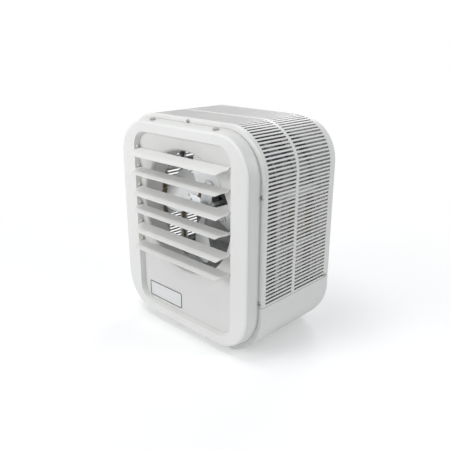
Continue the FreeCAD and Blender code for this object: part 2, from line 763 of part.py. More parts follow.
def fan_rivets():
    front = -ARM_GAP - ARM_SHEET
    hollow = (RIVET_SPREAD + RIVET_HEAD_RADIUS) ** 2 / (BLADE_CAMBER - BLADE_SHEET) / 2
    rear = BLADE_SHEET + hollow + ARM_GAP
    heads = rivet_rods(RIVET_HEAD_RADIUS, front - RIVET_HEAD, front)
    tails = rivet_rods(RIVET_HEAD_RADIUS, rear, rear + RIVET_HEAD)
    shanks = rivet_rods(RIVET_RADIUS, front, rear)
    rivets = [pitched(h.fuse([s, t]).removeSplitter()) for h, s, t in zip(heads, shanks, tails)]
    return Part.makeCompound([copy for rivet in rivets for copy in fan_set(rivet)])


# Motor
def ring(inner, outer, start, end):
    return turned([(inner, start), (outer, start), (outer, end), (inner, end)])


def motor_bell(end, inward):
    """A cup-shaped end bell whose plate faces outward at one end of the motor."""
    plate = end + inward * BELL_PLATE
    rim = end + inward * BELL_DEPTH
    boss = end + inward * BEARING_LENGTH
    wall = MOTOR_RADIUS - MOTOR_WALL
    bore = BEARING_RADIUS + SHAFT_FIT
    bell = turned([(bore, end), (MOTOR_RADIUS, end), (MOTOR_RADIUS, rim), (wall, rim), (wall, plate),
                   (BELL_BOSS_RADIUS, plate), (BELL_BOSS_RADIUS, boss), (bore, boss)])
    vent = rod(VENT_RADIUS, vec(VENT_CIRCLE, end - inward * OVERRUN, AXIS_HEIGHT),
               vec(VENT_CIRCLE, plate + inward * OVERRUN, AXIS_HEIGHT))
    return bell.cut([round_axis(vent, 360 * k / BELL_VENTS) for k in range(BELL_VENTS)])


def stud_set(shape):
    return [round_axis(shape, 45 + 90 * k) for k in range(4)]


def stud_bores():
    radius = STUD_RADIUS + STUD_CLEARANCE
    bore = rod(radius, vec(STUD_CIRCLE, MOTOR_REAR - STUD_SINK - STUD_CLEARANCE, AXIS_HEIGHT),
               vec(STUD_CIRCLE, MOTOR_REAR + HAT_SHEET + STUD_TAIL, AXIS_HEIGHT))
    return stud_set(bore)


def motor_front_bell():
    return motor_bell(MOTOR_FRONT, 1)


def motor_rear_bell():
    """The rear bell carries four bosses for the mounting studs."""
    bell = motor_bell(MOTOR_REAR, -1)
    boss_radius = STUD_RADIUS + STUD_RADIUS
    boss = rod(boss_radius, vec(STUD_CIRCLE, MOTOR_REAR - BELL_DEPTH, AXIS_HEIGHT),
               vec(STUD_CIRCLE, MOTOR_REAR - BELL_PLATE / 2, AXIS_HEIGHT))
    return bell.fuse(stud_set(boss)).cut(stud_bores()).removeSplitter()


def motor_shell():
    start = MOTOR_FRONT + BELL_DEPTH
    return ring(MOTOR_RADIUS - MOTOR_WALL, MOTOR_RADIUS, start, start + MOTOR_SHELL)


def core_span():
    start = MOTOR_FRONT + BELL_DEPTH + (MOTOR_SHELL - STATOR_LENGTH) / 2
    return start, start + STATOR_LENGTH


def motor_stator():
    return ring(ROTOR_RADIUS + AIR_GAP, MOTOR_RADIUS - MOTOR_WALL - SHAFT_FIT, *core_span())


def motor_windings():
    start, end = core_span()
    spans = [(start - WINDING_LENGTH, start), (end, end + WINDING_LENGTH)]
    return Part.makeCompound([ring(WINDING_INNER, WINDING_OUTER, *span) for span in spans])


def motor_rotor():
    return ring(SHAFT_RADIUS + SHAFT_FIT, ROTOR_RADIUS, *core_span())


def motor_shaft():
    start = FAN_SETBACK - HUB_LENGTH / 2 - SHAFT_NOSE
    shaft = rod(SHAFT_RADIUS, vec(0, start, AXIS_HEIGHT), vec(0, MOTOR_REAR - BELL_PLATE / 2, AXIS_HEIGHT))
    nose = [e for e in shaft.Edges if len(e.Vertexes) == 1 and abs(e.CenterOfMass.y - start) < SHAFT_FIT]
    return shaft.makeChamfer(SHAFT_NOSE / 4, nose)


def motor_bearings():
    spans = [(MOTOR_FRONT, MOTOR_FRONT + BEARING_LENGTH), (MOTOR_REAR - BEARING_LENGTH, MOTOR_REAR)]
    return Part.makeCompound([ring(SHAFT_RADIUS + SHAFT_FIT, BEARING_RADIUS, *span) for span in spans])


def motor_studs():
    stud = rod(STUD_RADIUS, vec(STUD_CIRCLE, MOTOR_REAR - STUD_SINK, AXIS_HEIGHT),
               vec(STUD_CIRCLE, HAT_CROWN + HAT_SHEET + STUD_TAIL, AXIS_HEIGHT))
    return Part.makeCompound(stud_set(stud))


def motor_nuts():
    seat = vec(STUD_CIRCLE, HAT_CROWN + HAT_SHEET, AXIS_HEIGHT)
    nut = hexagon(STUD_NUT_FLATS, seat, vec(0, STUD_NUT, 0))
    bore = rod(STUD_RADIUS + SHAFT_FIT, seat - vec(0, OVERRUN, 0), seat + vec(0, STUD_NUT + OVERRUN, 0))
    return Part.makeCompound(stud_set(nut.cut(bore)))


def motor_bracket():
    """A hat section that stands the motor off the back panel."""
    wide, inner = HAT_HALF, HAT_HALF - HAT_SHEET
    foot = HAT_HALF + HAT_FOOT
    crown, under = HAT_CROWN, HAT_CROWN + HAT_SHEET
    base, top = BACK_INNER, BACK_INNER - HAT_SHEET
    half = [(wide, crown), (wide, top), (foot, top), (foot, base), (inner, base), (inner, under)]
    points = [(-x, y) for x, y in half] + [(x, y) for x, y in reversed(half)]
    hat = polygon([vec(x, y, AXIS_HEIGHT - HAT_RISE) for x, y in points], vec(0, 0, HAT_RISE + HAT_RISE))
    shaft_hole = rod(BEARING_RADIUS, vec(0, crown - OVERRUN, AXIS_HEIGHT),
                     vec(0, under + OVERRUN, AXIS_HEIGHT))
    return drill(hat.cut(stud_bores() + [shaft_hole]), hat_screw_places())


# Heating elements
def element_places():
    pitch = (BACK_INNER - ELEMENT_BACK - ELEMENT_FIRST) / (ELEMENTS - 1)
    return [ELEMENT_FIRST + k * pitch for k in range(ELEMENTS)]


def leg_places():
    x = SIDE - ELEMENT_INSET
    return [(s * x, y) for y in element_places() for s in (-1, 1)]


def element(y):
    """One sheath: up one side, over in an arch and down the other."""
    leg = SIDE - ELEMENT_INSET
    top = HEIGHT - ELEMENT_DROP
    low = DIVIDER_HEIGHT - COLD_END
    spring = top - ELEMENT_BEND
    flat = leg - ELEMENT_BEND
    path = Part.Wire([
        Part.makeLine(vec(-leg, y, low), vec(-leg, y, spring)),
        arc(-flat, spring, ELEMENT_BEND, 180, 90, y),
        Part.makeLine(vec(-flat, y, top), vec(flat, y, top)),
        arc(flat, spring, ELEMENT_BEND, 90, 0, y),
        Part.makeLine(vec(leg, y, spring), vec(leg, y, low)),
    ])
    circle = Part.Wire(Part.makeCircle(SHEATH_RADIUS, vec(-leg, y, low), vec(0, 0, 1)))
    return path.makePipeShell([circle], True, False)


def element_terminals():
    low = DIVIDER_HEIGHT - COLD_END
    return Part.makeCompound([rod(TERMINAL_RADIUS, vec(x, y, low - TERMINAL_LENGTH), vec(x, y, low))
                              for x, y in leg_places()])


def element_fittings():
    """Bulkhead fittings, clamped on both faces of the divider."""
    fittings = []
    for x, y in leg_places():
        upper = hexagon(FITTING_FLATS, vec(x, y, DIVIDER_TOP), vec(0, 0, FITTING_HEIGHT))
        lower = hexagon(FITTING_FLATS, vec(x, y, DIVIDER_HEIGHT), vec(0, 0, -FITTING_HEIGHT))
        neck = rod(FITTING_NECK, vec(x, y, DIVIDER_HEIGHT), vec(x, y, DIVIDER_TOP))
        bore = rod(SHEATH_RADIUS + SHEATH_GAP, vec(x, y, DIVIDER_HEIGHT - COLD_END), vec(x, y, HEIGHT))
        fittings.append(upper.fuse([lower, neck]).cut(bore).removeSplitter())
    return Part.makeCompound(fittings)


def element_support():
    """The right-hand support: a ladder of posts and rails with two combs and a foot."""
    outer = SIDE - SHEET - SUPPORT_INSET
    inner = outer - SUPPORT_SHEET
    places = element_places()
    start, end = places[0] - SUPPORT_MARGIN, places[-1] + SUPPORT_MARGIN
    base = DIVIDER_TOP
    top = base + SUPPORT_RISE
    support = block(inner, outer, start, end, base, top)
    rails = [base] + [base + rise - SUPPORT_POST / 2 for rise in COMB_RISES]
    for low, high in zip(rails, rails[1:]):
        window = block(inner - OVERRUN, outer + OVERRUN, start + SUPPORT_POST, end - SUPPORT_POST,
                       low + SUPPORT_POST, high)
        support = support.cut(window)
    tip = SIDE - ELEMENT_INSET - SHEATH_RADIUS - COMB_LIP
    foot = block(inner, outer + SUPPORT_FOOT, start, end, base, base + SUPPORT_SHEET)
    combs = [block(tip, outer, start, end, base + rise, base + rise + SUPPORT_SHEET) for rise in COMB_RISES]
    support = support.fuse(combs + [foot])
    x = SIDE - ELEMENT_INSET
    holes = [rod(SHEATH_RADIUS + SHEATH_GAP, vec(x, y, base), vec(x, y, top + OVERRUN)) for y in places]
    return support.cut(holes).removeSplitter()


# Wiring compartment
def divider():
    """The shelf over the compartment, stepped round the back panel's rim and into the bezel."""
    wide = SIDE - SHEET - NEST_GAP
    narrow = wide - SHEET - NEST_GAP
    nose = RECESS_HALF
    step = RIM_FRONT - NEST_GAP
    half = [(nose, PANEL_BACK), (nose, DIVIDER_FRONT), (wide, DIVIDER_FRONT), (wide, step),
            (narrow, step), (narrow, BACK_INNER - BACK_ROUND), (narrow - BACK_ROUND, BACK_INNER - NEST_GAP)]
    points = half + [(-x, y) for x, y in reversed(half)]
    shelf = polygon([vec(x, y, DIVIDER_HEIGHT) for x, y in points], vec(0, 0, SHEET))
    neck = FITTING_NECK + SHEATH_GAP
    holes = [rod(neck, vec(x, y, DIVIDER_HEIGHT - OVERRUN), vec(x, y, DIVIDER_TOP + OVERRUN))
             for x, y in leg_places()]
    return shelf.cut(holes)


def contactor_middle():
    return CONTACTOR_INSET + CONTACTOR_WIDTH / 2 - FLOOR_HALF


def contactor():
    half = CONTACTOR_WIDTH / 2
    crest = half - CONTACTOR_STEP
    rise = [(half, 0), (half, CONTACTOR_LOW), (crest, CONTACTOR_LOW), (crest, CONTACTOR_HEIGHT)]
    points = rise + [(-x, z) for x, z in reversed(rise)]
    base = [vec(contactor_middle() + x, CONTACTOR_SETBACK, z + SHEET) for x, z in points]
    return polygon(base, vec(0, CONTACTOR_DEPTH, 0))


def core_place():
    """Middle and front of the transformer's core, beside the contactor."""
    middle = contactor_middle() + CONTACTOR_WIDTH / 2 + CORE_GAP + CORE_WIDTH / 2
    return middle, CONTACTOR_SETBACK + COIL_OVERHANG


def transformer_core():
    """A laminated core: outer limbs round a window on each side of the centre limb."""
    x, y = core_place()
    half = CORE_WIDTH / 2
    core = block(x - half, x + half, y, y + CORE_DEPTH, SHEET, SHEET + CORE_HEIGHT)
    low, high = SHEET + CORE_LIMB, SHEET + CORE_HEIGHT - CORE_LIMB
    for start, end in ((CORE_LIMB - half, -CORE_LIMB / 2), (CORE_LIMB / 2, half - CORE_LIMB)):
        core = core.cut(block(x + start, x + end, y - OVERRUN, y + CORE_DEPTH + OVERRUN, low, high))
    return core


def transformer_coil():
    x, y = core_place()
    half = CORE_WIDTH / 2 - CORE_LIMB - COIL_GAP
    limb = CORE_LIMB / 2 + COIL_GAP
    low, high = SHEET + CORE_LIMB + COIL_GAP, SHEET + CORE_HEIGHT - CORE_LIMB - COIL_GAP
    coil = block(x - half, x + half, y - COIL_OVERHANG, y + CORE_DEPTH + COIL_OVERHANG, low, high)
    upright = [e for e in coil.Edges if e.BoundBox.ZLength > CORE_LIMB]
    coil = coil.makeFillet(COIL_ROUND, upright)
    return coil.cut(block(x - limb, x + limb, y - COIL_GAP, y + CORE_DEPTH + COIL_GAP,
                          low - OVERRUN, high + OVERRUN))


def terminal_block():
    right = FLOOR_HALF - BLOCK_INSET
    left = right - BLOCK_WIDTH
    start = BACK_INNER - BLOCK_BACK - BLOCK_DEPTH
    base = block(left, right, start, start + BLOCK_DEPTH, SHEET, SHEET + BLOCK_BASE)
    step = (BLOCK_DEPTH - BLOCK_BARRIER) / BLOCK_POLES
    walls = []
    for k in range(BLOCK_POLES + 1):
        y = start + k * step
        walls.append(block(left, right, y, y + BLOCK_BARRIER, SHEET, SHEET + BLOCK_HEIGHT))
    return base.fuse(walls).removeSplitter()


def earth_lug():
    x = FLOOR_HALF - LUG_INSET
    half = LUG_WIDTH / 2
    start, end = LUG_SETBACK, LUG_SETBACK + LUG_LENGTH
    lug = block(x - half, x + half, start, end, SHEET, SHEET + LUG_HEIGHT)
    z = SHEET + LUG_HEIGHT / 2
    return lug.cut(rod(LUG_BORE, vec(x, start - OVERRUN, z), vec(x, end + OVERRUN, z)))


def thermal_cutout():
    """A snap-disc cut-out with two ears, on the divider behind the fan."""
    sweep = BLADE_TIP_HALF * math.sin(math.radians(FAN_PITCH))
    y = FAN_SETBACK + sweep + CUTOUT_GAP + CUTOUT_RADIUS
    ears = block(-CUTOUT_EAR, CUTOUT_EAR, y - CUTOUT_RADIUS / 2, y + CUTOUT_RADIUS / 2,
                 DIVIDER_TOP, DIVIDER_TOP + CUTOUT_PLATE)
    body = rod(CUTOUT_RADIUS, vec(0, y, DIVIDER_TOP), vec(0, y, DIVIDER_TOP + CUTOUT_HEIGHT))
    return body.fuse(ears).removeSplitter()


def all_nodes():
    shell = casing_shell()
    nodes = {
        "inlet_wrap": inlet_wrap(shell),
        "lower_pan": lower_pan(shell),
        "back_panel": back_panel(),
        "front_bezel": front_bezel(),
        "outlet_panel": outlet_panel(),
        "rating_plate": rating_plate(),
        "louver_rivets": louver_rivets(),
        "louver_bushes": louver_bushes(),
        "hanger_bolts": hanger_bolts(),
        "hanger_nuts": hanger_nuts(),
        "flange_screws": screws(flange_screw_places()),
        "pan_screws": screws(pan_screw_places()),
        "bracket_screws": screws(hat_screw_places()),
        "fan_spider": fan_spider(),
        "fan_blades": fan_blades(),
        "fan_rivets": fan_rivets(),
        "motor_shaft": motor_shaft(),
        "motor_rotor": motor_rotor(),
        "motor_stator": motor_stator(),
        "motor_windings": motor_windings(),
        "motor_bearings": motor_bearings(),
        "motor_shell": motor_shell(),
        "motor_front_bell": motor_front_bell(),
        "motor_rear_bell": motor_rear_bell(),
        "motor_studs": motor_studs(),
        "motor_nuts": motor_nuts(),
        "motor_bracket": motor_bracket(),
        "element_fittings": element_fittings(),
        "element_terminals": element_terminals(),
        "divider": divider(),
        "contactor": contactor(),
        "transformer_core": transformer_core(),
        "transformer_coil": transformer_coil(),
        "terminal_block": terminal_block(),
        "earth_lug": earth_lug(),
        "thermal_cutout": thermal_cutout(),
    }
    for k, blade in enumerate(louvers()):
        nodes["louver_%d" % (k + 1)] = blade
    for k, y in enumerate(element_places()):
        nodes["element_%d" % (k + 1)] = element(y)
    nodes["element_support_right"], nodes["element_support_left"] = both_sides(element_support())
    return nodes


def centred(nodes):
    """The nodes moved so that the origin is under the middle of the whole heater."""
    boxes = [shape.optimalBoundingBox() for shape in nodes.values()]
    front = min(box.YMin for box in boxes)
    rear = max(box.YMax for box in boxes)
    for shape in nodes.values():
        shape.translate(vec(0, -(front + rear) / 2, 0))
    return nodes


for name, shape in centred(all_nodes()).items():
    shape.exportStep("parts/%s.step" % name)
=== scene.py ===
import json
import math
from collections import namedtuple

import bmesh
import bpy
from mathutils import Euler, Matrix, Vector


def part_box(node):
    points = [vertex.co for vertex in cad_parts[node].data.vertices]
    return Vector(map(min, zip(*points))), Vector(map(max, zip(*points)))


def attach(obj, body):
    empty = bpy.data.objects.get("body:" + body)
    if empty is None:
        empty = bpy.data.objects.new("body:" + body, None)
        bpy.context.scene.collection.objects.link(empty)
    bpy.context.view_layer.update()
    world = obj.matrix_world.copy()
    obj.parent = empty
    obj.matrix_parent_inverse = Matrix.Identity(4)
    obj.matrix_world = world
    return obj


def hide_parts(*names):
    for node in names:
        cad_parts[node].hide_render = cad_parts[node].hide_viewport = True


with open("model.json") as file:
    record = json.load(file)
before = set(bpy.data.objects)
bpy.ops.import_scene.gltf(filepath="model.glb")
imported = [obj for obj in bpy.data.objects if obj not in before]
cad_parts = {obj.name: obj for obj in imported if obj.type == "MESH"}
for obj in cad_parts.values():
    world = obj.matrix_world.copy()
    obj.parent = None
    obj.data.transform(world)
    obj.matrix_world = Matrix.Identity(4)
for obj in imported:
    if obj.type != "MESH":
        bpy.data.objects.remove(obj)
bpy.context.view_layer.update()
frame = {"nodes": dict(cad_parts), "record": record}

# Lengths are in metres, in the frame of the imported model.
MM = 0.001

# A grain of noise: its cells per metre, its octaves and how harsh the finer octaves are.
Grain = namedtuple("Grain", "per_metre octaves harshness", defaults=(2.0, 0.5))


# Shader sums

SEEN_RAYS = ("Is Camera Ray", "Is Glossy Ray", "Is Transmission Ray")
EDGE_SAMPLES = 4
EDGE_GAIN = 3.5
CREASE_SAMPLES = 6


class Wire:
    """A socket that takes part in sums: each operator adds one Math node."""

    def __init__(self, work, socket):
        self.work = work
        self.socket = socket

    def math(self, operation, *values):
        """Adds a Math node on these values, in their order."""
        return self.work.node("ShaderNodeMath", {"operation": operation}, dict(enumerate(values)))

    def __add__(self, other):
        return self.math("ADD", self, other)

    def __radd__(self, other):
        return self.math("ADD", other, self)

    def __sub__(self, other):
        return self.math("SUBTRACT", self, other)

    def __rsub__(self, other):
        return self.math("SUBTRACT", other, self)

    def __mul__(self, other):
        return self.math("MULTIPLY", self, other)

    def __rmul__(self, other):
        return self.math("MULTIPLY", other, self)

    def __truediv__(self, other):
        return self.math("DIVIDE", self, other)

    def __abs__(self):
        return self.math("ABSOLUTE", self)

    def clamp(self):
        return self.work.node("ShaderNodeClamp", {}, {"Value": self, "Min": 0.0, "Max": 1.0})


class NodeWork:
    """A node tree under construction."""

    def __init__(self, tree):
        self.tree = tree
        tree.nodes.clear()

    def node(self, kind, settings, sockets, out=0):
        """Adds a node with its settings first and then its sockets, and gives one of its outputs."""
        node = self.tree.nodes.new(kind)
        for name, value in settings.items():
            if name == "stops":
                ramp = node.color_ramp.elements
                while len(ramp) < len(value):
                    ramp.new(1.0)
                for element, (position, colour) in zip(ramp, value):
                    element.position = position
                    element.color = (*colour, 1.0)
            else:
                setattr(node, name, value)
        for name, value in sockets.items():
            if isinstance(value, Wire):
                self.tree.links.new(value.socket, node.inputs[name])
            else:
                node.inputs[name].default_value = value
        return Wire(self, node.outputs[out]) if node.outputs else None

    def seen(self):
        """1 on the rays that show a thing or mirror it, and 0 on the rays that it lights others by."""
        camera, glossy, through = [self.node("ShaderNodeLightPath", {}, {}, ray) for ray in SEEN_RAYS]
        return (camera + glossy + through).clamp()


class Finish(NodeWork):
    """The node tree of one finish."""

    def __init__(self, name):
        self.material = bpy.data.materials.new(name)
        self.material.use_nodes = True
        super().__init__(self.material.node_tree)

    def place(self, stretch=(1.0, 1.0, 1.0), turn=(0.0, 0.0, 0.0), shift=(0.0, 0.0, 0.0)):
        """Object coordinates, stretched, turned and shifted."""
        coordinates = self.node("ShaderNodeTexCoord", {}, {}, "Object")
        return self.node("ShaderNodeMapping", {}, {
            "Vector": coordinates, "Scale": stretch, "Rotation": turn, "Location": shift})

    def noise(self, grain, place=None):
        """Noise of one grain, from 0 to 1."""
        return self.node("ShaderNodeTexNoise", {}, {
            "Vector": place or self.place(), "Scale": grain.per_metre,
            "Detail": grain.octaves, "Roughness": grain.harshness}, "Fac")

    def cells(self, per_metre):
        """A shade of its own for each cell."""
        colour = self.node("ShaderNodeTexVoronoi", {}, {"Vector": self.place(), "Scale": per_metre}, "Color")
        return self.node("ShaderNodeSeparateColor", {}, {"Color": colour}, 0)

    def ramp(self, value, stops):
        """The colour that a value has between stops, each a position and a colour."""
        return self.node("ShaderNodeValToRGB", {"stops": stops}, {"Fac": value}, "Color")

    def mix(self, factor, first, second):
        """The first colour at a factor of 0 and the second at 1."""
        first, second = [c if isinstance(c, Wire) else (*c, 1.0) for c in (first, second)]
        return self.node("ShaderNodeMix", {"data_type": "RGBA"}, {0: factor, 6: first, 7: second}, 2)

    def between(self, value, low, high):
        """A value of 0 at low and 1 at high, clamped."""
        return ((value - low) / (high - low)).clamp()

    def length(self, vector):
        """How far a point is from the origin of its coordinates."""
        return self.node("ShaderNodeVectorMath", {"operation": "LENGTH"}, {0: vector}, "Value")

    def edge(self, radius):
        """1 on the sharp edges within a radius and 0 on the flats."""
        rounded = self.node("ShaderNodeBevel", {"samples": EDGE_SAMPLES}, {"Radius": radius})
        flat = self.node("ShaderNodeNewGeometry", {}, {}, "Normal")
        facing_flat = self.node(
            "ShaderNodeVectorMath", {"operation": "DOT_PRODUCT"}, {0: rounded, 1: flat}, "Value")
        return ((1 - facing_flat) * EDGE_GAIN).clamp()

    def crease(self, reach):
        """1 deep in the creases and seams within a reach and 0 on open surfaces."""
        open_share = self.node(
            "ShaderNodeAmbientOcclusion", {"samples": CREASE_SAMPLES}, {"Distance": reach}, "AO")
        return 1 - open_share

    def axis(self, index):
        """One of the object's coordinates: x is 0, y is 1 and z is 2."""
        return self.node("ShaderNodeSeparateXYZ", {}, {"Vector": self.place()}, index)

    def upward(self):
        """1 where the surface faces up, 0 on upright walls and -1 underneath."""
        normal = self.node("ShaderNodeNewGeometry", {}, {}, "Normal")
        return self.node("ShaderNodeSeparateXYZ", {}, {"Vector": normal}, 2)

    def bump(self, height, strength, relief):
        """A normal that the height tilts, where a height of 1 stands a relief in metres."""
        return self.node("ShaderNodeBump", {}, {
            "Height": height, "Strength": strength, "Distance": relief}, "Normal")

    def done(self, **sockets):
        """The material, whose principled shader takes these sockets."""
        sockets = {name.replace("_", " "): value for name, value in sockets.items()}
        shader = self.node("ShaderNodeBsdfPrincipled", {}, sockets)
        self.node("ShaderNodeOutputMaterial", {}, {"Surface": shader})
        return self.material


# Casing paint

COAT_TONES = ((0.745, 0.742, 0.722), (0.785, 0.782, 0.766))
# The outlet panel's coat, painted darker as shade in its recess.
RECESS_SHADE_TONES = ((0.680, 0.677, 0.660), (0.720, 0.717, 0.702))
COAT_DUST = (0.62, 0.60, 0.56)
COAT_RUBBED = (0.56, 0.56, 0.55)
# The dark tone that the painted shade in creases and seams darkens the coat towards.
COAT_PAINTED_SHADE = (0.30, 0.29, 0.275)
COAT_PEEL = Grain(620.0, 2.0, 0.45)
COAT_GRIT = Grain(2600.0, 1.0)
COAT_CLOUD = Grain(7.0, 3.0)
COAT_RELIEF = 0.25 * MM
DUST_SPECKS = Grain(45.0, 4.0, 0.6)
RUBBED_PATCHES = Grain(60.0, 3.0)
RUBBED_WIDTH = 0.7 * MM
# How far ambient occlusion reaches for the painted shade in the creases.
PAINTED_SHADE_REACH = 6.0 * MM
# A band of painted shade along the lap seam at this height, darkest on its middle line.
SEAM_HEIGHT = 129.3 * MM
SEAM_LINE = 0.2 * MM
SEAM_SHADE_WIDTH = 1.7 * MM
SEAM_SHADE_PATCHES = Grain(38.0, 4.0, 0.6)
HALO_RIM = 139.0 * MM
HALO_REACH = 170.0 * MM
HALO_PATCHES = Grain(30.0, 4.0, 0.6)


def powder_coat(name, tones=COAT_TONES, seam=False, outlet=None):
    """White baked powder coat: fine orange peel, dust on top, rubbed edges and painted shade in the creases.

    A seam gets a band of painted shade along it, and round an outlet the coat is darker in a patchy ring."""
    coat = Finish(name)
    cloud = coat.noise(COAT_CLOUD)
    dust = coat.between(coat.upward(), 0.55, 1.0) * coat.noise(DUST_SPECKS)
    rubbed = coat.edge(RUBBED_WIDTH) * coat.between(coat.noise(RUBBED_PATCHES), 0.42, 0.6)
    # Painted shade: ambient occlusion darkens the creases and seams.
    painted_shade = coat.between(coat.crease(PAINTED_SHADE_REACH), 0.25, 0.85)
    if seam:
        # Painted shade: a band along the seam that stands in for the shadow in its gap.
        seam_shade = coat.between(abs(coat.axis(2) - SEAM_HEIGHT), SEAM_SHADE_WIDTH, SEAM_LINE)
        painted_shade = (painted_shade + seam_shade * (0.7 + 0.6 * coat.noise(SEAM_SHADE_PATCHES))).clamp()
    # A patchy darker ring round the outlet, darkest at and inside the orifice rim, added to the same
    # darkening mask.
    if outlet is not None:
        across = coat.place(stretch=(1.0, 0.0, 1.0), shift=(-outlet.x, 0.0, -outlet.z))
        halo = coat.between(coat.length(across), HALO_REACH, HALO_RIM) * coat.noise(HALO_PATCHES)
        painted_shade = (painted_shade + 0.6 * halo).clamp()
    tone = coat.mix(coat.between(cloud, 0.3, 0.7), *tones)
    tone = coat.mix(dust * 0.22, tone, COAT_DUST)
    tone = coat.mix(rubbed * 0.45, tone, COAT_RUBBED)
    # The painted shade darkens the coat here.
    tone = coat.mix(painted_shade * 0.55, tone, COAT_PAINTED_SHADE)
    peel = coat.noise(COAT_PEEL) + 0.25 * coat.noise(COAT_GRIT)
    return coat.done(
        Base_Color=tone, Roughness=0.36 + 0.10 * cloud + 0.10 * dust,
        Normal=coat.bump(peel, 0.16, COAT_RELIEF), Specular_IOR_Level=0.45)


# Finishes of the plate and the fasteners

PLATE_TONES = ((0.60, 0.605, 0.61), (0.78, 0.785, 0.79))
PLATE_STREAK = Grain(900.0, 3.0, 0.6)
PLATE_BRUSHING = (0.015, 1.0, 1.0)
PLATE_RELIEF = 0.05 * MM


def brushed_plate():
    """Thin bare aluminium, brushed along its length."""
    plate = Finish("brushed_plate")
    streak = plate.noise(PLATE_STREAK, plate.place(stretch=PLATE_BRUSHING))
    return plate.done(
        Base_Color=plate.mix(streak, *PLATE_TONES), Metallic=0.85, Roughness=0.36 + 0.18 * streak,
        Normal=plate.bump(streak, 0.10, PLATE_RELIEF))


BEAD_TONES = ((0.085, 0.087, 0.092), (0.15, 0.152, 0.158))
BEAD_RUBBED = (0.36, 0.36, 0.365)
BEAD_GRAIN = Grain(700.0, 3.0, 0.6)
BEAD_PATCHES = Grain(85.0, 4.0, 0.6)
BEAD_RELIEF = 0.05 * MM


def dark_bead():
    """Dark anodised bead round the plate, rubbed lighter in patches."""
    bead = Finish("dark_bead")
    grain = bead.noise(BEAD_GRAIN)
    rubbed = bead.between(bead.noise(BEAD_PATCHES), 0.50, 0.72)
    tone = bead.mix(rubbed * 0.45, bead.mix(grain, *BEAD_TONES), BEAD_RUBBED)
    return bead.done(
        Base_Color=tone, Metallic=0.6, Roughness=0.38 + 0.18 * grain,
        Normal=bead.bump(grain, 0.10, BEAD_RELIEF))


ZINC_STOPS = [(0.30, (0.36, 0.38, 0.41)), (0.50, (0.44, 0.44, 0.435)), (0.70, (0.46, 0.43, 0.36))]
ZINC_WORN = (0.26, 0.26, 0.26)
ZINC_BLOOM = Grain(140.0, 3.0)
ZINC_SCUFF = Grain(900.0, 3.0, 0.65)
ZINC_RELIEF = 0.06 * MM


def bright_zinc():
    """Zinc plate on fasteners, with a faint straw and blue bloom."""
    zinc = Finish("bright_zinc")
    scuff = zinc.noise(ZINC_SCUFF)
    tone = zinc.ramp(zinc.noise(ZINC_BLOOM), ZINC_STOPS)
    tone = zinc.mix(zinc.between(scuff, 0.52, 0.66) * 0.5, tone, ZINC_WORN)
    return zinc.done(
        Base_Color=tone, Metallic=0.95, Roughness=0.24 + 0.24 * scuff,
        Normal=zinc.bump(scuff, 0.08, ZINC_RELIEF))


NYLON_TONES = ((0.70, 0.68, 0.61), (0.80, 0.79, 0.74))
NYLON_CLOUD = Grain(160.0, 3.0)
NYLON_GRAIN = Grain(1500.0)
NYLON_RELIEF = 0.05 * MM


def bush_nylon():
    """Natural nylon, a little yellowed."""
    nylon = Finish("bush_nylon")
    cloud = nylon.noise(NYLON_CLOUD)
    return nylon.done(
        Base_Color=nylon.mix(cloud, *NYLON_TONES), Roughness=0.42 + 0.15 * cloud,
        Normal=nylon.bump(nylon.noise(NYLON_GRAIN), 0.08, NYLON_RELIEF))


# Finishes of the fan and the inner sheet

MILL_TONES = ((0.64, 0.65, 0.66), (0.79, 0.795, 0.80))
MILL_DUST = (0.60, 0.59, 0.57)
MILL_STREAK = Grain(420.0, 3.0, 0.6)
MILL_ROLLING = (1.0, 0.3, 0.04)
MILL_TURN = (0.0, 0.21, 0.0)
MILL_BLOOM = Grain(26.0, 4.0, 0.6)
MILL_RELIEF = 0.06 * MM


def mill_aluminium():
    """Fan blades cut from mill-finish aluminium, with rolling streaks and a dusty bloom."""
    mill = Finish("mill_aluminium")
    streak = mill.noise(MILL_STREAK, mill.place(stretch=MILL_ROLLING, turn=MILL_TURN))
    bloom = mill.noise(MILL_BLOOM)
    tone = mill.mix(mill.between(bloom, 0.48, 0.75) * 0.4, mill.mix(streak, *MILL_TONES), MILL_DUST)
    return mill.done(
        Base_Color=tone, Metallic=0.88, Roughness=0.42 + 0.16 * streak + 0.12 * bloom,
        Normal=mill.bump(streak, 0.07, MILL_RELIEF))


SHEET_TONES = ((0.46, 0.475, 0.49), (0.66, 0.67, 0.68))
SHEET_BLOOM = (0.74, 0.74, 0.73)
SHEET_WOBBLE = Grain(120.0)
SPANGLES_PER_METRE = 95.0
SHEET_RELIEF = 0.1 * MM


def galvanised_sheet():
    """Galvanised sheet with its spangle."""
    sheet = Finish("galvanised_sheet")
    wobble = sheet.noise(SHEET_WOBBLE)
    spangle = sheet.cells(SPANGLES_PER_METRE)
    tone = sheet.mix(spangle, *SHEET_TONES)
    tone = sheet.mix(sheet.between(wobble, 0.5, 0.75) * 0.35, tone, SHEET_BLOOM)
    return sheet.done(
        Base_Color=tone, Metallic=0.9, Roughness=0.34 + 0.20 * spangle,
        Normal=sheet.bump(wobble, 0.06, SHEET_RELIEF))


# Finishes of the motor

ENAMEL_TONES = ((0.050, 0.052, 0.056), (0.082, 0.084, 0.088))
ENAMEL_DUST = (0.24, 0.23, 0.21)
ENAMEL_PEEL = Grain(520.0)
ENAMEL_CLOUD = Grain(18.0, 4.0, 0.6)
ENAMEL_RELIEF = 0.2 * MM


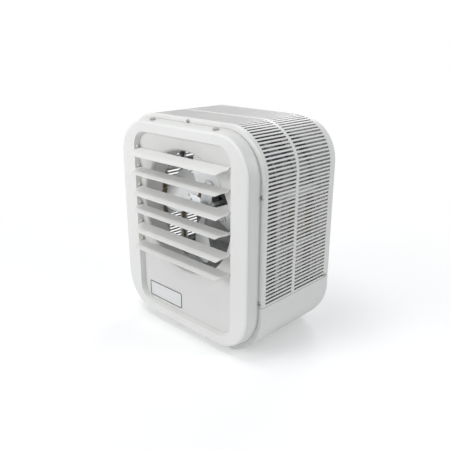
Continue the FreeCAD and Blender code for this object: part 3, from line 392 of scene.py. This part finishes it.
def motor_enamel():
    """Dark stoving enamel on the motor, with a dusty top."""
    enamel = Finish("motor_enamel")
    cloud = enamel.noise(ENAMEL_CLOUD)
    dust = enamel.between(enamel.upward(), 0.1, 1.0) * enamel.between(cloud, 0.3, 0.7)
    tone = enamel.mix(dust * 0.4, enamel.mix(cloud, *ENAMEL_TONES), ENAMEL_DUST)
    return enamel.done(
        Base_Color=tone, Roughness=0.30 + 0.25 * dust,
        Normal=enamel.bump(enamel.noise(ENAMEL_PEEL), 0.14, ENAMEL_RELIEF))


SHAFT_TONES = ((0.60, 0.605, 0.61), (0.72, 0.725, 0.73))
SHAFT_RINGS = Grain(1500.0, 2.0, 0.6)
SHAFT_GRINDING = (0.02, 1.0, 0.02)
SHAFT_RELIEF = 0.01 * MM


def ground_shaft():
    """Ground steel: fine rings round the shaft."""
    steel = Finish("ground_shaft")
    rings = steel.noise(SHAFT_RINGS, steel.place(stretch=SHAFT_GRINDING))
    return steel.done(
        Base_Color=steel.mix(rings, *SHAFT_TONES), Metallic=1.0, Roughness=0.24 + 0.08 * rings,
        Normal=steel.bump(rings, 0.03, SHAFT_RELIEF))


CORE_TONES = ((0.10, 0.095, 0.09), (0.24, 0.23, 0.22))
CORE_VARNISH = (0.17, 0.11, 0.06)
CORE_SHEET = 0.5 * MM
CORE_RUNS = Grain(55.0, 4.0)
CORE_RELIEF = 0.1 * MM


def core_stack():
    """Varnished laminations: thin sheets stacked along the core."""
    stack = Finish("core_stack")
    along = stack.axis(1)
    sheets = along.math("PINGPONG", along, CORE_SHEET) / CORE_SHEET
    varnish = stack.noise(CORE_RUNS)
    tone = stack.mix(sheets, *CORE_TONES)
    tone = stack.mix(stack.between(varnish, 0.45, 0.7) * 0.5, tone, CORE_VARNISH)
    return stack.done(
        Base_Color=tone, Metallic=0.6, Roughness=0.38 + 0.2 * varnish,
        Normal=stack.bump(sheets, 0.3, CORE_RELIEF))


COPPER_TONES = ((0.34, 0.14, 0.06), (0.74, 0.40, 0.22))
COPPER_LACQUER = (0.30, 0.17, 0.08)
COPPER_STRANDS = Grain(1100.0)
COPPER_WINDING = (0.25, 1.0, 0.25)
COPPER_RUNS = Grain(40.0, 3.0)
COPPER_RELIEF = 0.25 * MM


def enamelled_copper():
    """Enamelled copper strands, laid round the coil."""
    copper = Finish("enamelled_copper")
    strands = copper.noise(COPPER_STRANDS, copper.place(stretch=COPPER_WINDING))
    lacquer = copper.noise(COPPER_RUNS)
    tone = copper.mix(lacquer * 0.3, copper.mix(strands, *COPPER_TONES), COPPER_LACQUER)
    return copper.done(
        Base_Color=tone, Metallic=0.85, Roughness=0.26 + 0.2 * lacquer,
        Normal=copper.bump(strands, 0.4, COPPER_RELIEF))


BRONZE_TONES = ((0.42, 0.28, 0.12), (0.68, 0.49, 0.25))
BRONZE_GRAIN = Grain(2400.0)
BRONZE_RELIEF = 0.06 * MM


def sintered_bronze():
    """Sintered bronze: open-grained and oily."""
    bronze = Finish("sintered_bronze")
    grain = bronze.noise(BRONZE_GRAIN)
    return bronze.done(
        Base_Color=bronze.mix(grain, *BRONZE_TONES), Metallic=0.9, Roughness=0.35 + 0.3 * grain,
        Normal=bronze.bump(grain, 0.2, BRONZE_RELIEF))


# Finishes of the elements and the controls

SHEATH_PALE = (0.56, 0.55, 0.53)
SHEATH_DARK = (0.20, 0.18, 0.17)
FIN_PALE = (0.60, 0.60, 0.59)
FIN_DARK = (0.30, 0.28, 0.27)
HEAT_STRAW = (0.46, 0.37, 0.27)
HEAT_BLUE = (0.30, 0.30, 0.35)
HEAT_HEIGHTS = (140.0 * MM, 420.0 * MM)
HEAT_PATCHES = Grain(24.0, 3.0)
OXIDE_PATCHES = Grain(110.0, 4.0, 0.65)
OXIDE_RELIEF = 0.06 * MM


def heated_sheath(name, pale, dark):
    """Element metal, straw and blue from heat, with a darker oxide in patches."""
    sheath = Finish(name)
    heat = sheath.between(sheath.axis(2), *HEAT_HEIGHTS) * 0.6 + 0.5 * sheath.noise(HEAT_PATCHES)
    oxide = sheath.between(sheath.noise(OXIDE_PATCHES), 0.46, 0.68)
    tint = sheath.ramp(heat, [(0.15, pale), (0.55, HEAT_STRAW), (0.85, HEAT_BLUE)])
    return sheath.done(
        Base_Color=sheath.mix(oxide * 0.6, tint, dark), Metallic=0.85, Roughness=0.36 + 0.26 * oxide,
        Normal=sheath.bump(oxide, 0.12, OXIDE_RELIEF))


PHENOLIC_TONES = ((0.030, 0.030, 0.031), (0.062, 0.061, 0.060))
PHENOLIC_SPARK = Grain(1900.0, 3.0, 0.6)
PHENOLIC_CLOUD = Grain(60.0, 3.0)
PHENOLIC_RELIEF = 0.1 * MM


def moulded_phenolic():
    """Black moulded plastic with a fine spark texture."""
    plastic = Finish("moulded_phenolic")
    cloud = plastic.noise(PHENOLIC_CLOUD)
    return plastic.done(
        Base_Color=plastic.mix(cloud, *PHENOLIC_TONES), Roughness=0.46 + 0.16 * cloud,
        Normal=plastic.bump(plastic.noise(PHENOLIC_SPARK), 0.2, PHENOLIC_RELIEF))


FINISHES = {
    "casing_paint": powder_coat("powder_coat"),
    "plate_metal": brushed_plate(),
    "zinc_steel": bright_zinc(),
    "nylon": bush_nylon(),
    "fan_metal": mill_aluminium(),
    "plated_sheet": galvanised_sheet(),
    "motor_paint": motor_enamel(),
    "shaft_steel": ground_shaft(),
    "laminations": core_stack(),
    "winding_wire": enamelled_copper(),
    "bearing_bronze": sintered_bronze(),
    "sheath_steel": heated_sheath("heated_sheath", SHEATH_PALE, SHEATH_DARK),
    "black_plastic": moulded_phenolic(),
}


def joint_places(*bodies):
    """Points on the axes of the joints that carry these bodies."""
    joints = frame["record"]["behaviour"]["joints"]
    return [Vector(joint["pos_m"]) for joint in joints if joint["child"] in bodies]


def dress_nodes():
    """Every CAD node takes the finish of its own material slot, or a coat of its own."""
    slot_of = {part["node"]: part["material_slot"] for part in frame["record"]["subparts"]}
    fan_axis, = joint_places("fan")
    # The wrap and the pan share a coat with a band of painted shade along their seam.
    seam_shaded = powder_coat("seam_shaded_coat", seam=True)
    # The outlet panel's coat is painted darker, as painted shade of its recess.
    recess_shaded = powder_coat("recess_shaded_coat", RECESS_SHADE_TONES, outlet=fan_axis)
    own_coat = {"inlet_wrap": seam_shaded, "lower_pan": seam_shaded, "outlet_panel": recess_shaded}
    for name, node in frame["nodes"].items():
        node.data.materials.clear()
        node.data.materials.append(own_coat.get(name, FINISHES[slot_of[name]]))


# Making pieces

SMOOTH_ANGLE = math.radians(38)
MERGE_GAP = 0.002 * MM


def closed_mesh(name, work):
    """A bmesh made a mesh, with its doubles merged and its faces outwards."""
    bmesh.ops.remove_doubles(work, verts=work.verts, dist=MERGE_GAP)
    bmesh.ops.recalc_face_normals(work, faces=work.faces)
    mesh = bpy.data.meshes.new(name)
    work.to_mesh(mesh)
    work.free()
    return mesh


def finish_piece(name, work, slot, body, replaced=None, finish=None):
    """A bmesh made a piece that rides on a body."""
    mesh = closed_mesh(name, work)
    mesh.shade_smooth()
    mesh.set_sharp_from_angle(angle=SMOOTH_ANGLE)
    mesh.materials.append(finish or FINISHES[slot])
    piece = bpy.data.objects.new(name, mesh)
    bpy.context.scene.collection.objects.link(piece)
    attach(piece, body)
    if replaced:
        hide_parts(replaced)


def facing(seat, outward):
    """A placing that stands +Z of a blank along outward, with the blank's origin on the seat."""
    return Matrix.Translation(seat) @ Vector(outward).to_track_quat("Z", "Y").to_matrix().to_4x4()


def stamp_piece(name, blank, places, body, replaced):
    """A zinc-plated set of fasteners: one copy of a blank at each placing."""
    work = bmesh.new()
    for place in places:
        before = len(work.verts)
        work.from_mesh(blank)
        work.verts.ensure_lookup_table()
        bmesh.ops.transform(work, matrix=place, verts=work.verts[before:])
    finish_piece(name, work, "zinc_steel", body, replaced)


def picked(geometry, kind):
    """What an operator made of one kind: vertices or edges."""
    return [item for item in geometry if isinstance(item, kind)]


def ring(work, segments, radius, height=0.0):
    """The edges of a circle round Z at a height."""
    level = Matrix.Translation((0.0, 0.0, height))
    verts = bmesh.ops.create_circle(work, segments=segments, radius=radius, matrix=level)["verts"]
    return list(dict.fromkeys(edge for vert in verts for edge in vert.link_edges))


def grow_rings(work, edges, rows):
    """Extrudes an edge loop from ring to ring: each row spreads the last ring about Z and lifts it."""
    for spread, lift in rows:
        made = bmesh.ops.extrude_edge_only(work, edges=edges)["geom"]
        verts = picked(made, bmesh.types.BMVert)
        edges = picked(made, bmesh.types.BMEdge)
        bmesh.ops.scale(work, vec=(spread, spread, 1.0), verts=verts)
        bmesh.ops.translate(work, vec=(0.0, 0.0, lift), verts=verts)
    return edges


# Screws

SCREW_HEAD_RADIUS = 4.0 * MM
SCREW_HEAD_HEIGHT = 2.6 * MM
SCREW_SEGMENTS = 24
SCREW_CROWN_SHARE = 0.62
SCREW_HEAD_ROWS = [(1.30, -0.22 * MM), (1.16, -0.50 * MM), (1.055, -0.68 * MM), (1.01, -1.20 * MM)]
SCREW_SHANK_SHARE = 0.512
SCREW_SHANK_LENGTH = 9.0 * MM
SCREW_TIP_SHARE = 0.35
SCREW_TIP = 1.2 * MM
CROSS_ARMS = 4
CROSS_HALF = 0.55 * MM
CROSS_REACH = 2.1 * MM
CROSS_DEPTH = 1.5 * MM
CROSS_FLOOR_SHARE = 0.55
FLANGE_SHOULDER_DROP = 125.8 * MM
SCREW_TURN_FIRST = 0.4
SCREW_TURN_STEP = 0.9


def cross_recess(work):
    """The sunk walls and floor of a cross, whose open rim lies level with the top of the head."""
    corners = []
    for arm in range(CROSS_ARMS):
        spin = Matrix.Rotation(arm * math.tau / CROSS_ARMS, 3, "Z")
        for x, y in ((CROSS_REACH, -CROSS_HALF), (CROSS_REACH, CROSS_HALF), (CROSS_HALF, CROSS_HALF)):
            corners.append(work.verts.new(spin @ Vector((x, y, SCREW_HEAD_HEIGHT))))
    cross = work.faces.new(corners)
    rim = list(cross.edges)
    sunk = picked(bmesh.ops.extrude_face_region(work, geom=[cross])["geom"], bmesh.types.BMVert)
    bmesh.ops.translate(work, vec=(0.0, 0.0, -CROSS_DEPTH), verts=sunk)
    bmesh.ops.scale(work, vec=(CROSS_FLOOR_SHARE, CROSS_FLOOR_SHARE, 1.0), verts=sunk)
    bmesh.ops.delete(work, geom=[cross], context="FACES_ONLY")
    bmesh.ops.subdivide_edges(work, edges=rim, cuts=1)
    return [edge for edge in work.edges if edge.is_boundary]


def screw_blank():
    """A pan-head screw with a cross recess, its seat at the origin and its head along +Z."""
    work = bmesh.new()
    rim = cross_recess(work)
    crown = ring(work, SCREW_SEGMENTS, SCREW_CROWN_SHARE * SCREW_HEAD_RADIUS, SCREW_HEAD_HEIGHT)
    bmesh.ops.bridge_loops(work, edges=rim + crown)
    shank_rows = [(SCREW_SHANK_SHARE, 0.0), (1.0, -SCREW_SHANK_LENGTH), (SCREW_TIP_SHARE, -SCREW_TIP)]
    tip = grow_rings(work, crown, SCREW_HEAD_ROWS + shank_rows)
    bmesh.ops.contextual_create(work, geom=tip)
    return closed_mesh("screw_blank", work)


def screw_places():
    """Seats and outward ways of the screws, from the boxes of the CAD screw nodes."""
    front_low, front_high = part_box("flange_screws")
    seat_y = front_low.y + SCREW_HEAD_HEIGHT
    side = front_high.x - SCREW_HEAD_RADIUS
    upper = front_high.z - SCREW_HEAD_RADIUS
    lower = front_low.z + SCREW_HEAD_RADIUS
    shoulder = upper - FLANGE_SHOULDER_DROP
    flange = [((0.0, seat_y, upper), (0, -1, 0))]
    flange += [((s * side, seat_y, z), (0, -1, 0)) for s in (-1, 1) for z in (shoulder, lower)]
    pan_low, pan_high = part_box("pan_screws")
    pan_x = pan_high.x - SCREW_HEAD_HEIGHT
    pan_y = (pan_low.y + pan_high.y) / 2
    pan_z = (pan_low.z + pan_high.z) / 2
    pan = [((s * pan_x, pan_y, pan_z), (s, 0, 0)) for s in (-1, 1)]
    back_low, back_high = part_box("bracket_screws")
    back_x = back_high.x - SCREW_HEAD_RADIUS
    back_y = back_high.y - SCREW_HEAD_HEIGHT
    back_heights = (back_low.z + SCREW_HEAD_RADIUS, back_high.z - SCREW_HEAD_RADIUS)
    back = [((s * back_x, back_y, z), (0, 1, 0)) for s in (-1, 1) for z in back_heights]
    return {"flange_screws": flange, "pan_screws": pan, "bracket_screws": back}


def screws():
    """The flange, pan and bracket screws, each driven home to a turn of its own."""
    blank = screw_blank()
    for node, seats in screw_places().items():
        places = []
        for k, (seat, way) in enumerate(seats):
            turn = Matrix.Rotation(SCREW_TURN_FIRST + SCREW_TURN_STEP * k, 4, "Z")
            places.append(facing(seat, way) @ turn)
        stamp_piece(node.replace("_screws", "_screw_set"), blank, places, "casing", node)
    bpy.data.meshes.remove(blank)


# Hanger bolts

BOLT_FLATS = 11.1 * MM
BOLT_HEAD = 4.2 * MM
BOLT_WASHER = 0.4 * MM
BOLT_FACE_SHARE = 0.955
BOLT_CHAMFER_SHARE = 0.96
BOLT_CHAMFER_SLOPE = math.tan(math.radians(30))
BOLT_SHANK = 3.175 * MM
BOLT_NECK = 3.0 * MM
BOLT_THREADS = 9
BOLT_THREAD_DEPTH = 0.55 * MM
BOLT_PITCH = 1.27 * MM
BOLT_TIP_SHARE = 0.75
BOLT_TIP = 0.8 * MM
HEX_SIDES = 6
HEX_CUTS = 7
# The right-hand seat, on the top of the bezel, which falls towards the front.
HANGER_SEAT = Vector((98.4 * MM, -111.0145 * MM, 483.386 * MM))
HANGER_NORMAL = Vector((0.0, -3.7, 26.1)).normalized()


def bolt_face(work, hexagon, height):
    """Closes a hexagon's edges in to a turned ring at a height, and gives that ring's edges."""
    turned = ring(work, HEX_SIDES * (HEX_CUTS + 1), BOLT_FACE_SHARE * BOLT_FLATS / 2, height)
    bmesh.ops.bridge_loops(work, edges=hexagon + turned)
    return turned


def hanger_bolt_blank():
    """A hex bolt: washer face, flats with a turned chamfer, and a threaded shank."""
    work = bmesh.new()
    sides = ring(work, HEX_SIDES, BOLT_FLATS / math.sqrt(3), BOLT_WASHER)
    bmesh.ops.subdivide_edges(work, edges=sides, cuts=HEX_CUTS)
    foot = list(work.edges)
    made = bmesh.ops.extrude_edge_only(work, edges=foot)["geom"]
    for vert in picked(made, bmesh.types.BMVert):
        past = max(0.0, vert.co.xy.length - BOLT_CHAMFER_SHARE * BOLT_FLATS / 2)
        vert.co.z = BOLT_HEAD - past * BOLT_CHAMFER_SLOPE
    crown = bolt_face(work, picked(made, bmesh.types.BMEdge), BOLT_HEAD)
    bmesh.ops.contextual_create(work, geom=crown)
    washer = bolt_face(work, foot, BOLT_WASHER)
    shank_share = BOLT_SHANK / (BOLT_FACE_SHARE * BOLT_FLATS / 2)
    root_share = 1 - BOLT_THREAD_DEPTH / BOLT_SHANK
    neck = [(1.0, -BOLT_WASHER), (shank_share, 0.0), (1.0, -BOLT_NECK)]
    thread = [(root_share, -BOLT_PITCH / 2), (1 / root_share, -BOLT_PITCH / 2)] * BOLT_THREADS
    tip = grow_rings(work, washer, neck + thread + [(BOLT_TIP_SHARE, -BOLT_TIP)])
    bmesh.ops.contextual_create(work, geom=tip)
    return closed_mesh("hanger_bolt_blank", work)


def hanger_bolts():
    """The two bolts that the hanging bracket goes under, square to the top of the bezel."""
    blank = hanger_bolt_blank()
    turn = Matrix.Rotation(math.pi / HEX_SIDES, 4, "Z")
    seats = [(s * HANGER_SEAT.x, HANGER_SEAT.y, HANGER_SEAT.z) for s in (-1, 1)]
    places = [facing(seat, HANGER_NORMAL) @ turn for seat in seats]
    stamp_piece("hanger_bolt_set", blank, places, "casing", "hanger_bolts")
    bpy.data.meshes.remove(blank)


# Rivets

RIVET_SEGMENTS = 18
# Each row: how far it spreads the last ring, and its lift as a share of the head's height.
RIVET_DOME_SHARES = [(1.0, 0.35), (0.86, 0.34), (0.66, 0.19), (0.45, 0.10)]
RIVET_TAIL_SHARES = [(1.0, -0.45), (0.80, -0.30), (0.55, -0.15)]


def rivet_blank(name, shank, head, lift, length):
    """A domed rivet with its head along +Z, its seat at the origin and a set tail at the far end."""
    work = bmesh.new()
    rim = ring(work, RIVET_SEGMENTS, head)
    crown = grow_rings(work, rim, [(spread, share * lift) for spread, share in RIVET_DOME_SHARES])
    bmesh.ops.contextual_create(work, geom=crown)
    shank_rows = [(shank / head, 0.0), (1.0, -length), (head / shank, 0.0)]
    tail_rows = [(spread, share * lift) for spread, share in RIVET_TAIL_SHARES]
    tail = grow_rings(work, rim, shank_rows + tail_rows)
    bmesh.ops.contextual_create(work, geom=tail)
    return closed_mesh(name, work)


LOUVERS = ("louver_1", "louver_2", "louver_3", "louver_4", "louver_5", "louver_6")
LOUVER_RIVET_START = 146.1 * MM
LOUVER_RIVET_SHANK = 1.48 * MM
LOUVER_RIVET_HEAD = 2.2 * MM
LOUVER_RIVET_LIFT = 1.2 * MM


def louver_rivets():
    """Pivot rivets: the heads stand inside the ears and the tails behind the recess wall."""
    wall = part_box("louver_rivets")[1].x - LOUVER_RIVET_LIFT
    blank = rivet_blank("louver_rivet_blank", LOUVER_RIVET_SHANK, LOUVER_RIVET_HEAD, LOUVER_RIVET_LIFT,
                        wall - LOUVER_RIVET_START)
    places = [facing((s * LOUVER_RIVET_START, pivot.y, pivot.z), (-s, 0, 0))
              for pivot in joint_places(*LOUVERS) for s in (-1, 1)]
    stamp_piece("louver_rivet_set", blank, places, "casing", "louver_rivets")
    bpy.data.meshes.remove(blank)


FAN_BLADES = 4
FAN_START = math.radians(12)
FAN_PITCH = math.radians(24)
FAN_RIVET_SPOTS = [(46.0 * MM, 0.0), (58.0 * MM, -7.0 * MM), (58.0 * MM, 7.0 * MM)]
FAN_RIVET_SEAT = -2.5 * MM
FAN_RIVET_GRIP = 4.1 * MM
FAN_RIVET_SHANK = 1.58 * MM
FAN_RIVET_HEAD = 2.9 * MM
FAN_RIVET_LIFT = 1.2 * MM


def fan_rivets():
    """Three rivets through each pitched blade and its arm, with their heads towards the louvers."""
    fan_axis, = joint_places("fan")
    low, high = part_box("fan_spider")
    hub = Matrix.Translation((fan_axis.x, (low.y + high.y) / 2, fan_axis.z))
    blank = rivet_blank("fan_rivet_blank", FAN_RIVET_SHANK, FAN_RIVET_HEAD, FAN_RIVET_LIFT, FAN_RIVET_GRIP)
    places = []
    for k in range(FAN_BLADES):
        turn = Matrix.Rotation(FAN_START + k * math.tau / FAN_BLADES, 4, "Y")
        arm = hub @ turn @ Matrix.Rotation(FAN_PITCH, 4, "X")
        places += [arm @ facing((out, FAN_RIVET_SEAT, across), (0, -1, 0)) for out, across in FAN_RIVET_SPOTS]
    stamp_piece("fan_rivet_set", blank, places, "fan", "fan_rivets")
    bpy.data.meshes.remove(blank)


# Plate

PLATE_CORNER = 4.0 * MM
PLATE_CORNER_SEGMENTS = 6
PLATE_BEAD = 2.4 * MM
# Each step of the bead: how far it draws in, and how far it rises.
PLATE_BEAD_STEPS = [(0.12 * MM, 0.32 * MM), (0.35 * MM, 0.22 * MM), (0.4 * MM, 0.08 * MM)]


def plate_bead():
    """A low rounded bead on the edge of the bare plate."""
    low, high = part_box("rating_plate")
    size = high - low
    middle = (low + high) / 2
    work = bmesh.new()
    corners = bmesh.ops.create_grid(work, x_segments=1, y_segments=1, size=0.5)["verts"]
    bmesh.ops.scale(work, vec=(size.x, size.z, 1.0), verts=corners)
    bmesh.ops.bevel(work, geom=list(corners), offset=PLATE_CORNER, affect="VERTICES",
                    segments=PLATE_CORNER_SEGMENTS, profile=0.5, material=-1)
    face = work.faces[:][0]
    strip = bmesh.ops.inset_region(work, faces=[face], thickness=PLATE_BEAD, use_boundary=True,
                                   use_even_offset=True)["faces"]
    bmesh.ops.delete(work, geom=[face], context="FACES_ONLY")
    for inward, rise in PLATE_BEAD_STEPS:
        bmesh.ops.inset_region(work, faces=strip, thickness=inward, depth=rise, use_boundary=True,
                               use_even_offset=True)
    bmesh.ops.bridge_loops(work, edges=[edge for edge in work.edges if edge.is_boundary])
    bmesh.ops.transform(work, matrix=facing((middle.x, low.y, middle.z), (0, -1, 0)), verts=work.verts)
    finish_piece("plate_bead", work, "plate_metal", "casing", finish=dark_bead())


# Finned elements

ELEMENTS = ("element_1", "element_2", "element_3")
ELEMENT_LEG = 178.0 * MM
ELEMENT_TOP = 448.0 * MM
ELEMENT_BEND = 78.0 * MM
FIN_RADIUS = 9.6 * MM
FIN_SHEET = 0.45 * MM
FIN_SEGMENTS = 14
FIN_PITCH = 4.2 * MM
FIN_FIRST = 139.0 * MM
FIN_LEAN = math.radians(4)
COMB_HEIGHTS = (231.2 * MM, 347.2 * MM)
COMB_SHEET = 1.5 * MM
COMB_ROOM = 3.4 * MM


def fin_places(y):
    """Points and directions along one arched element, a fin pitch apart and clear of the combs."""
    spring = ELEMENT_TOP - ELEMENT_BEND
    flat = ELEMENT_LEG - ELEMENT_BEND
    rise = spring - FIN_FIRST
    bend = ELEMENT_BEND * math.pi / 2
    total = 2 * (rise + bend) + 2 * flat
    count = int(total / FIN_PITCH)
    for k in range(count + 1):
        run = (k + 0.5) * total / (count + 1)
        side = -1 if run < total / 2 else 1
        near = min(run, total - run)
        if near < rise:
            x, z = ELEMENT_LEG, FIN_FIRST + near
            way = (0.0, 0.0, 1.0)
        elif near < rise + bend:
            angle = (near - rise) / ELEMENT_BEND
            x, z = flat + ELEMENT_BEND * math.cos(angle), spring + ELEMENT_BEND * math.sin(angle)
            way = (-side * math.sin(angle), 0.0, math.cos(angle))
        else:
            x, z = flat - (near - rise - bend), ELEMENT_TOP
            way = (1.0, 0.0, 0.0)
        if all(abs(z - comb - COMB_SHEET / 2) > COMB_ROOM for comb in COMB_HEIGHTS):
            yield (side * x, y, z), way


def element_fins():
    """Thin round fins along each element, leaning a little as if wound on."""
    fin_metal = heated_sheath("fin_steel", FIN_PALE, FIN_DARK)
    lean = Matrix.Rotation(FIN_LEAN, 4, "X")
    for element in ELEMENTS:
        low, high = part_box(element)
        work = bmesh.new()
        for point, way in fin_places((low.y + high.y) / 2):
            bmesh.ops.create_cone(
                work, cap_ends=True, segments=FIN_SEGMENTS, radius1=FIN_RADIUS, radius2=FIN_RADIUS,
                depth=FIN_SHEET, matrix=facing(point, way) @ lean)
        name = element.replace("element", "element_fins")
        finish_piece(name, work, "sheath_steel", "casing", finish=fin_metal)


# Stage

WHITE = (1.0, 1.0, 1.0)
BLACK = (0.0, 0.0, 0.0)
FLOOR_REACH = 14.0
FLOOR_FADE = (0.35, 1.1)
FLOOR_TONES = ((0.84, 0.84, 0.838), (0.87, 0.87, 0.868))
FLOOR_GLOW = (0.22, 0.22, 0.22)
FLOOR_CLOUD = Grain(3.0, 3.0)
WORLD_TONE = (0.9, 0.95, 1.0)
WORLD_FILL = 0.34
# Each lamp: its place, the height that it is aimed at, its width and its watts.
LAMPS = {
    "key_lamp": ((-0.9, -2.4, 1.2), 0.25, 1.5, 33.0),
    "side_lamp": ((2.2, 1.0, 1.5), 0.25, 1.1, 17.0),
    "rear_lamp": ((-1.0, 2.4, 1.5), 0.25, 1.4, 23.0),
    "top_lamp": ((-0.2, -0.7, 2.6), 0.3, 1.2, 20.0),
}
CAMERA_PLACE = Vector((0.85035, -0.85112, 0.65165))
CAMERA_TURN = (math.radians(90 - 19.04), 0.0, math.radians(44.49))
CAMERA_LENS = 43.2
CAMERA_SENSOR = 36.0
CAMERA_CLIP = 60.0


def pale_floor():
    """Pale paper that keeps the shadow near the heater and runs out to plain white."""
    work = bmesh.new()
    bmesh.ops.create_grid(work, x_segments=2, y_segments=2, size=FLOOR_REACH)
    mesh = bpy.data.meshes.new("floor")
    work.to_mesh(mesh)
    work.free()
    floor = bpy.data.objects.new("floor", mesh)
    bpy.context.scene.collection.objects.link(floor)
    paper = Finish("floor_paper")
    seen = paper.seen()
    white = seen * paper.between(paper.length(paper.place()), *FLOOR_FADE)
    tone = paper.mix(paper.noise(FLOOR_CLOUD), *FLOOR_TONES)
    glow = paper.mix(seen, BLACK, FLOOR_GLOW)
    mesh.materials.append(paper.done(
        Base_Color=paper.mix(white, tone, BLACK), Roughness=0.9, Specular_IOR_Level=0.0,
        Emission_Color=paper.mix(white, glow, WHITE), Emission_Strength=1.0))


def soft_lamps():
    """Wide round lamps, each aimed at the middle of the heater."""
    for name, (place, aim_height, width, watts) in LAMPS.items():
        lamp = bpy.data.lights.new(name, "AREA")
        lamp.shape = "DISK"
        lamp.size = width
        lamp.energy = watts
        lamp_object = bpy.data.objects.new(name, lamp)
        lamp_object.location = place
        aim = Vector((0.0, 0.0, aim_height)) - Vector(place)
        lamp_object.rotation_euler = aim.to_track_quat("-Z", "Y").to_euler()
        bpy.context.scene.collection.objects.link(lamp_object)


def studio_world():
    """A dim, slightly cool fill on the heater, which the camera and mirrors see as plain white."""
    world = bpy.data.worlds.new("studio")
    bpy.context.scene.world = world
    world.use_nodes = True
    room = NodeWork(world.node_tree)
    fill = room.node("ShaderNodeBackground", {}, {"Color": (*WORLD_TONE, 1.0), "Strength": WORLD_FILL})
    backdrop = room.node("ShaderNodeBackground", {}, {"Color": (*WHITE, 1.0), "Strength": 1.0})
    blend = room.node("ShaderNodeMixShader", {}, {0: room.seen(), 1: fill, 2: backdrop})
    room.node("ShaderNodeOutputWorld", {}, {"Surface": blend})


def photo_camera():
    """The drawing's own view: from the front right, a little above."""
    camera = bpy.data.cameras.new("photo_camera")
    camera.lens = CAMERA_LENS
    camera.sensor_fit = "HORIZONTAL"
    camera.sensor_width = CAMERA_SENSOR
    camera.clip_end = CAMERA_CLIP
    camera_object = bpy.data.objects.new("photo_camera", camera)
    camera_object.location = CAMERA_PLACE
    camera_object.rotation_euler = Euler(CAMERA_TURN)
    bpy.context.scene.collection.objects.link(camera_object)
    bpy.context.scene.camera = camera_object


dress_nodes()
screws()
hanger_bolts()
louver_rivets()
fan_rivets()
plate_bead()
element_fins()
pale_floor()
soft_lamps()
studio_world()
photo_camera()
bpy.context.scene.view_settings.view_transform = "Standard"
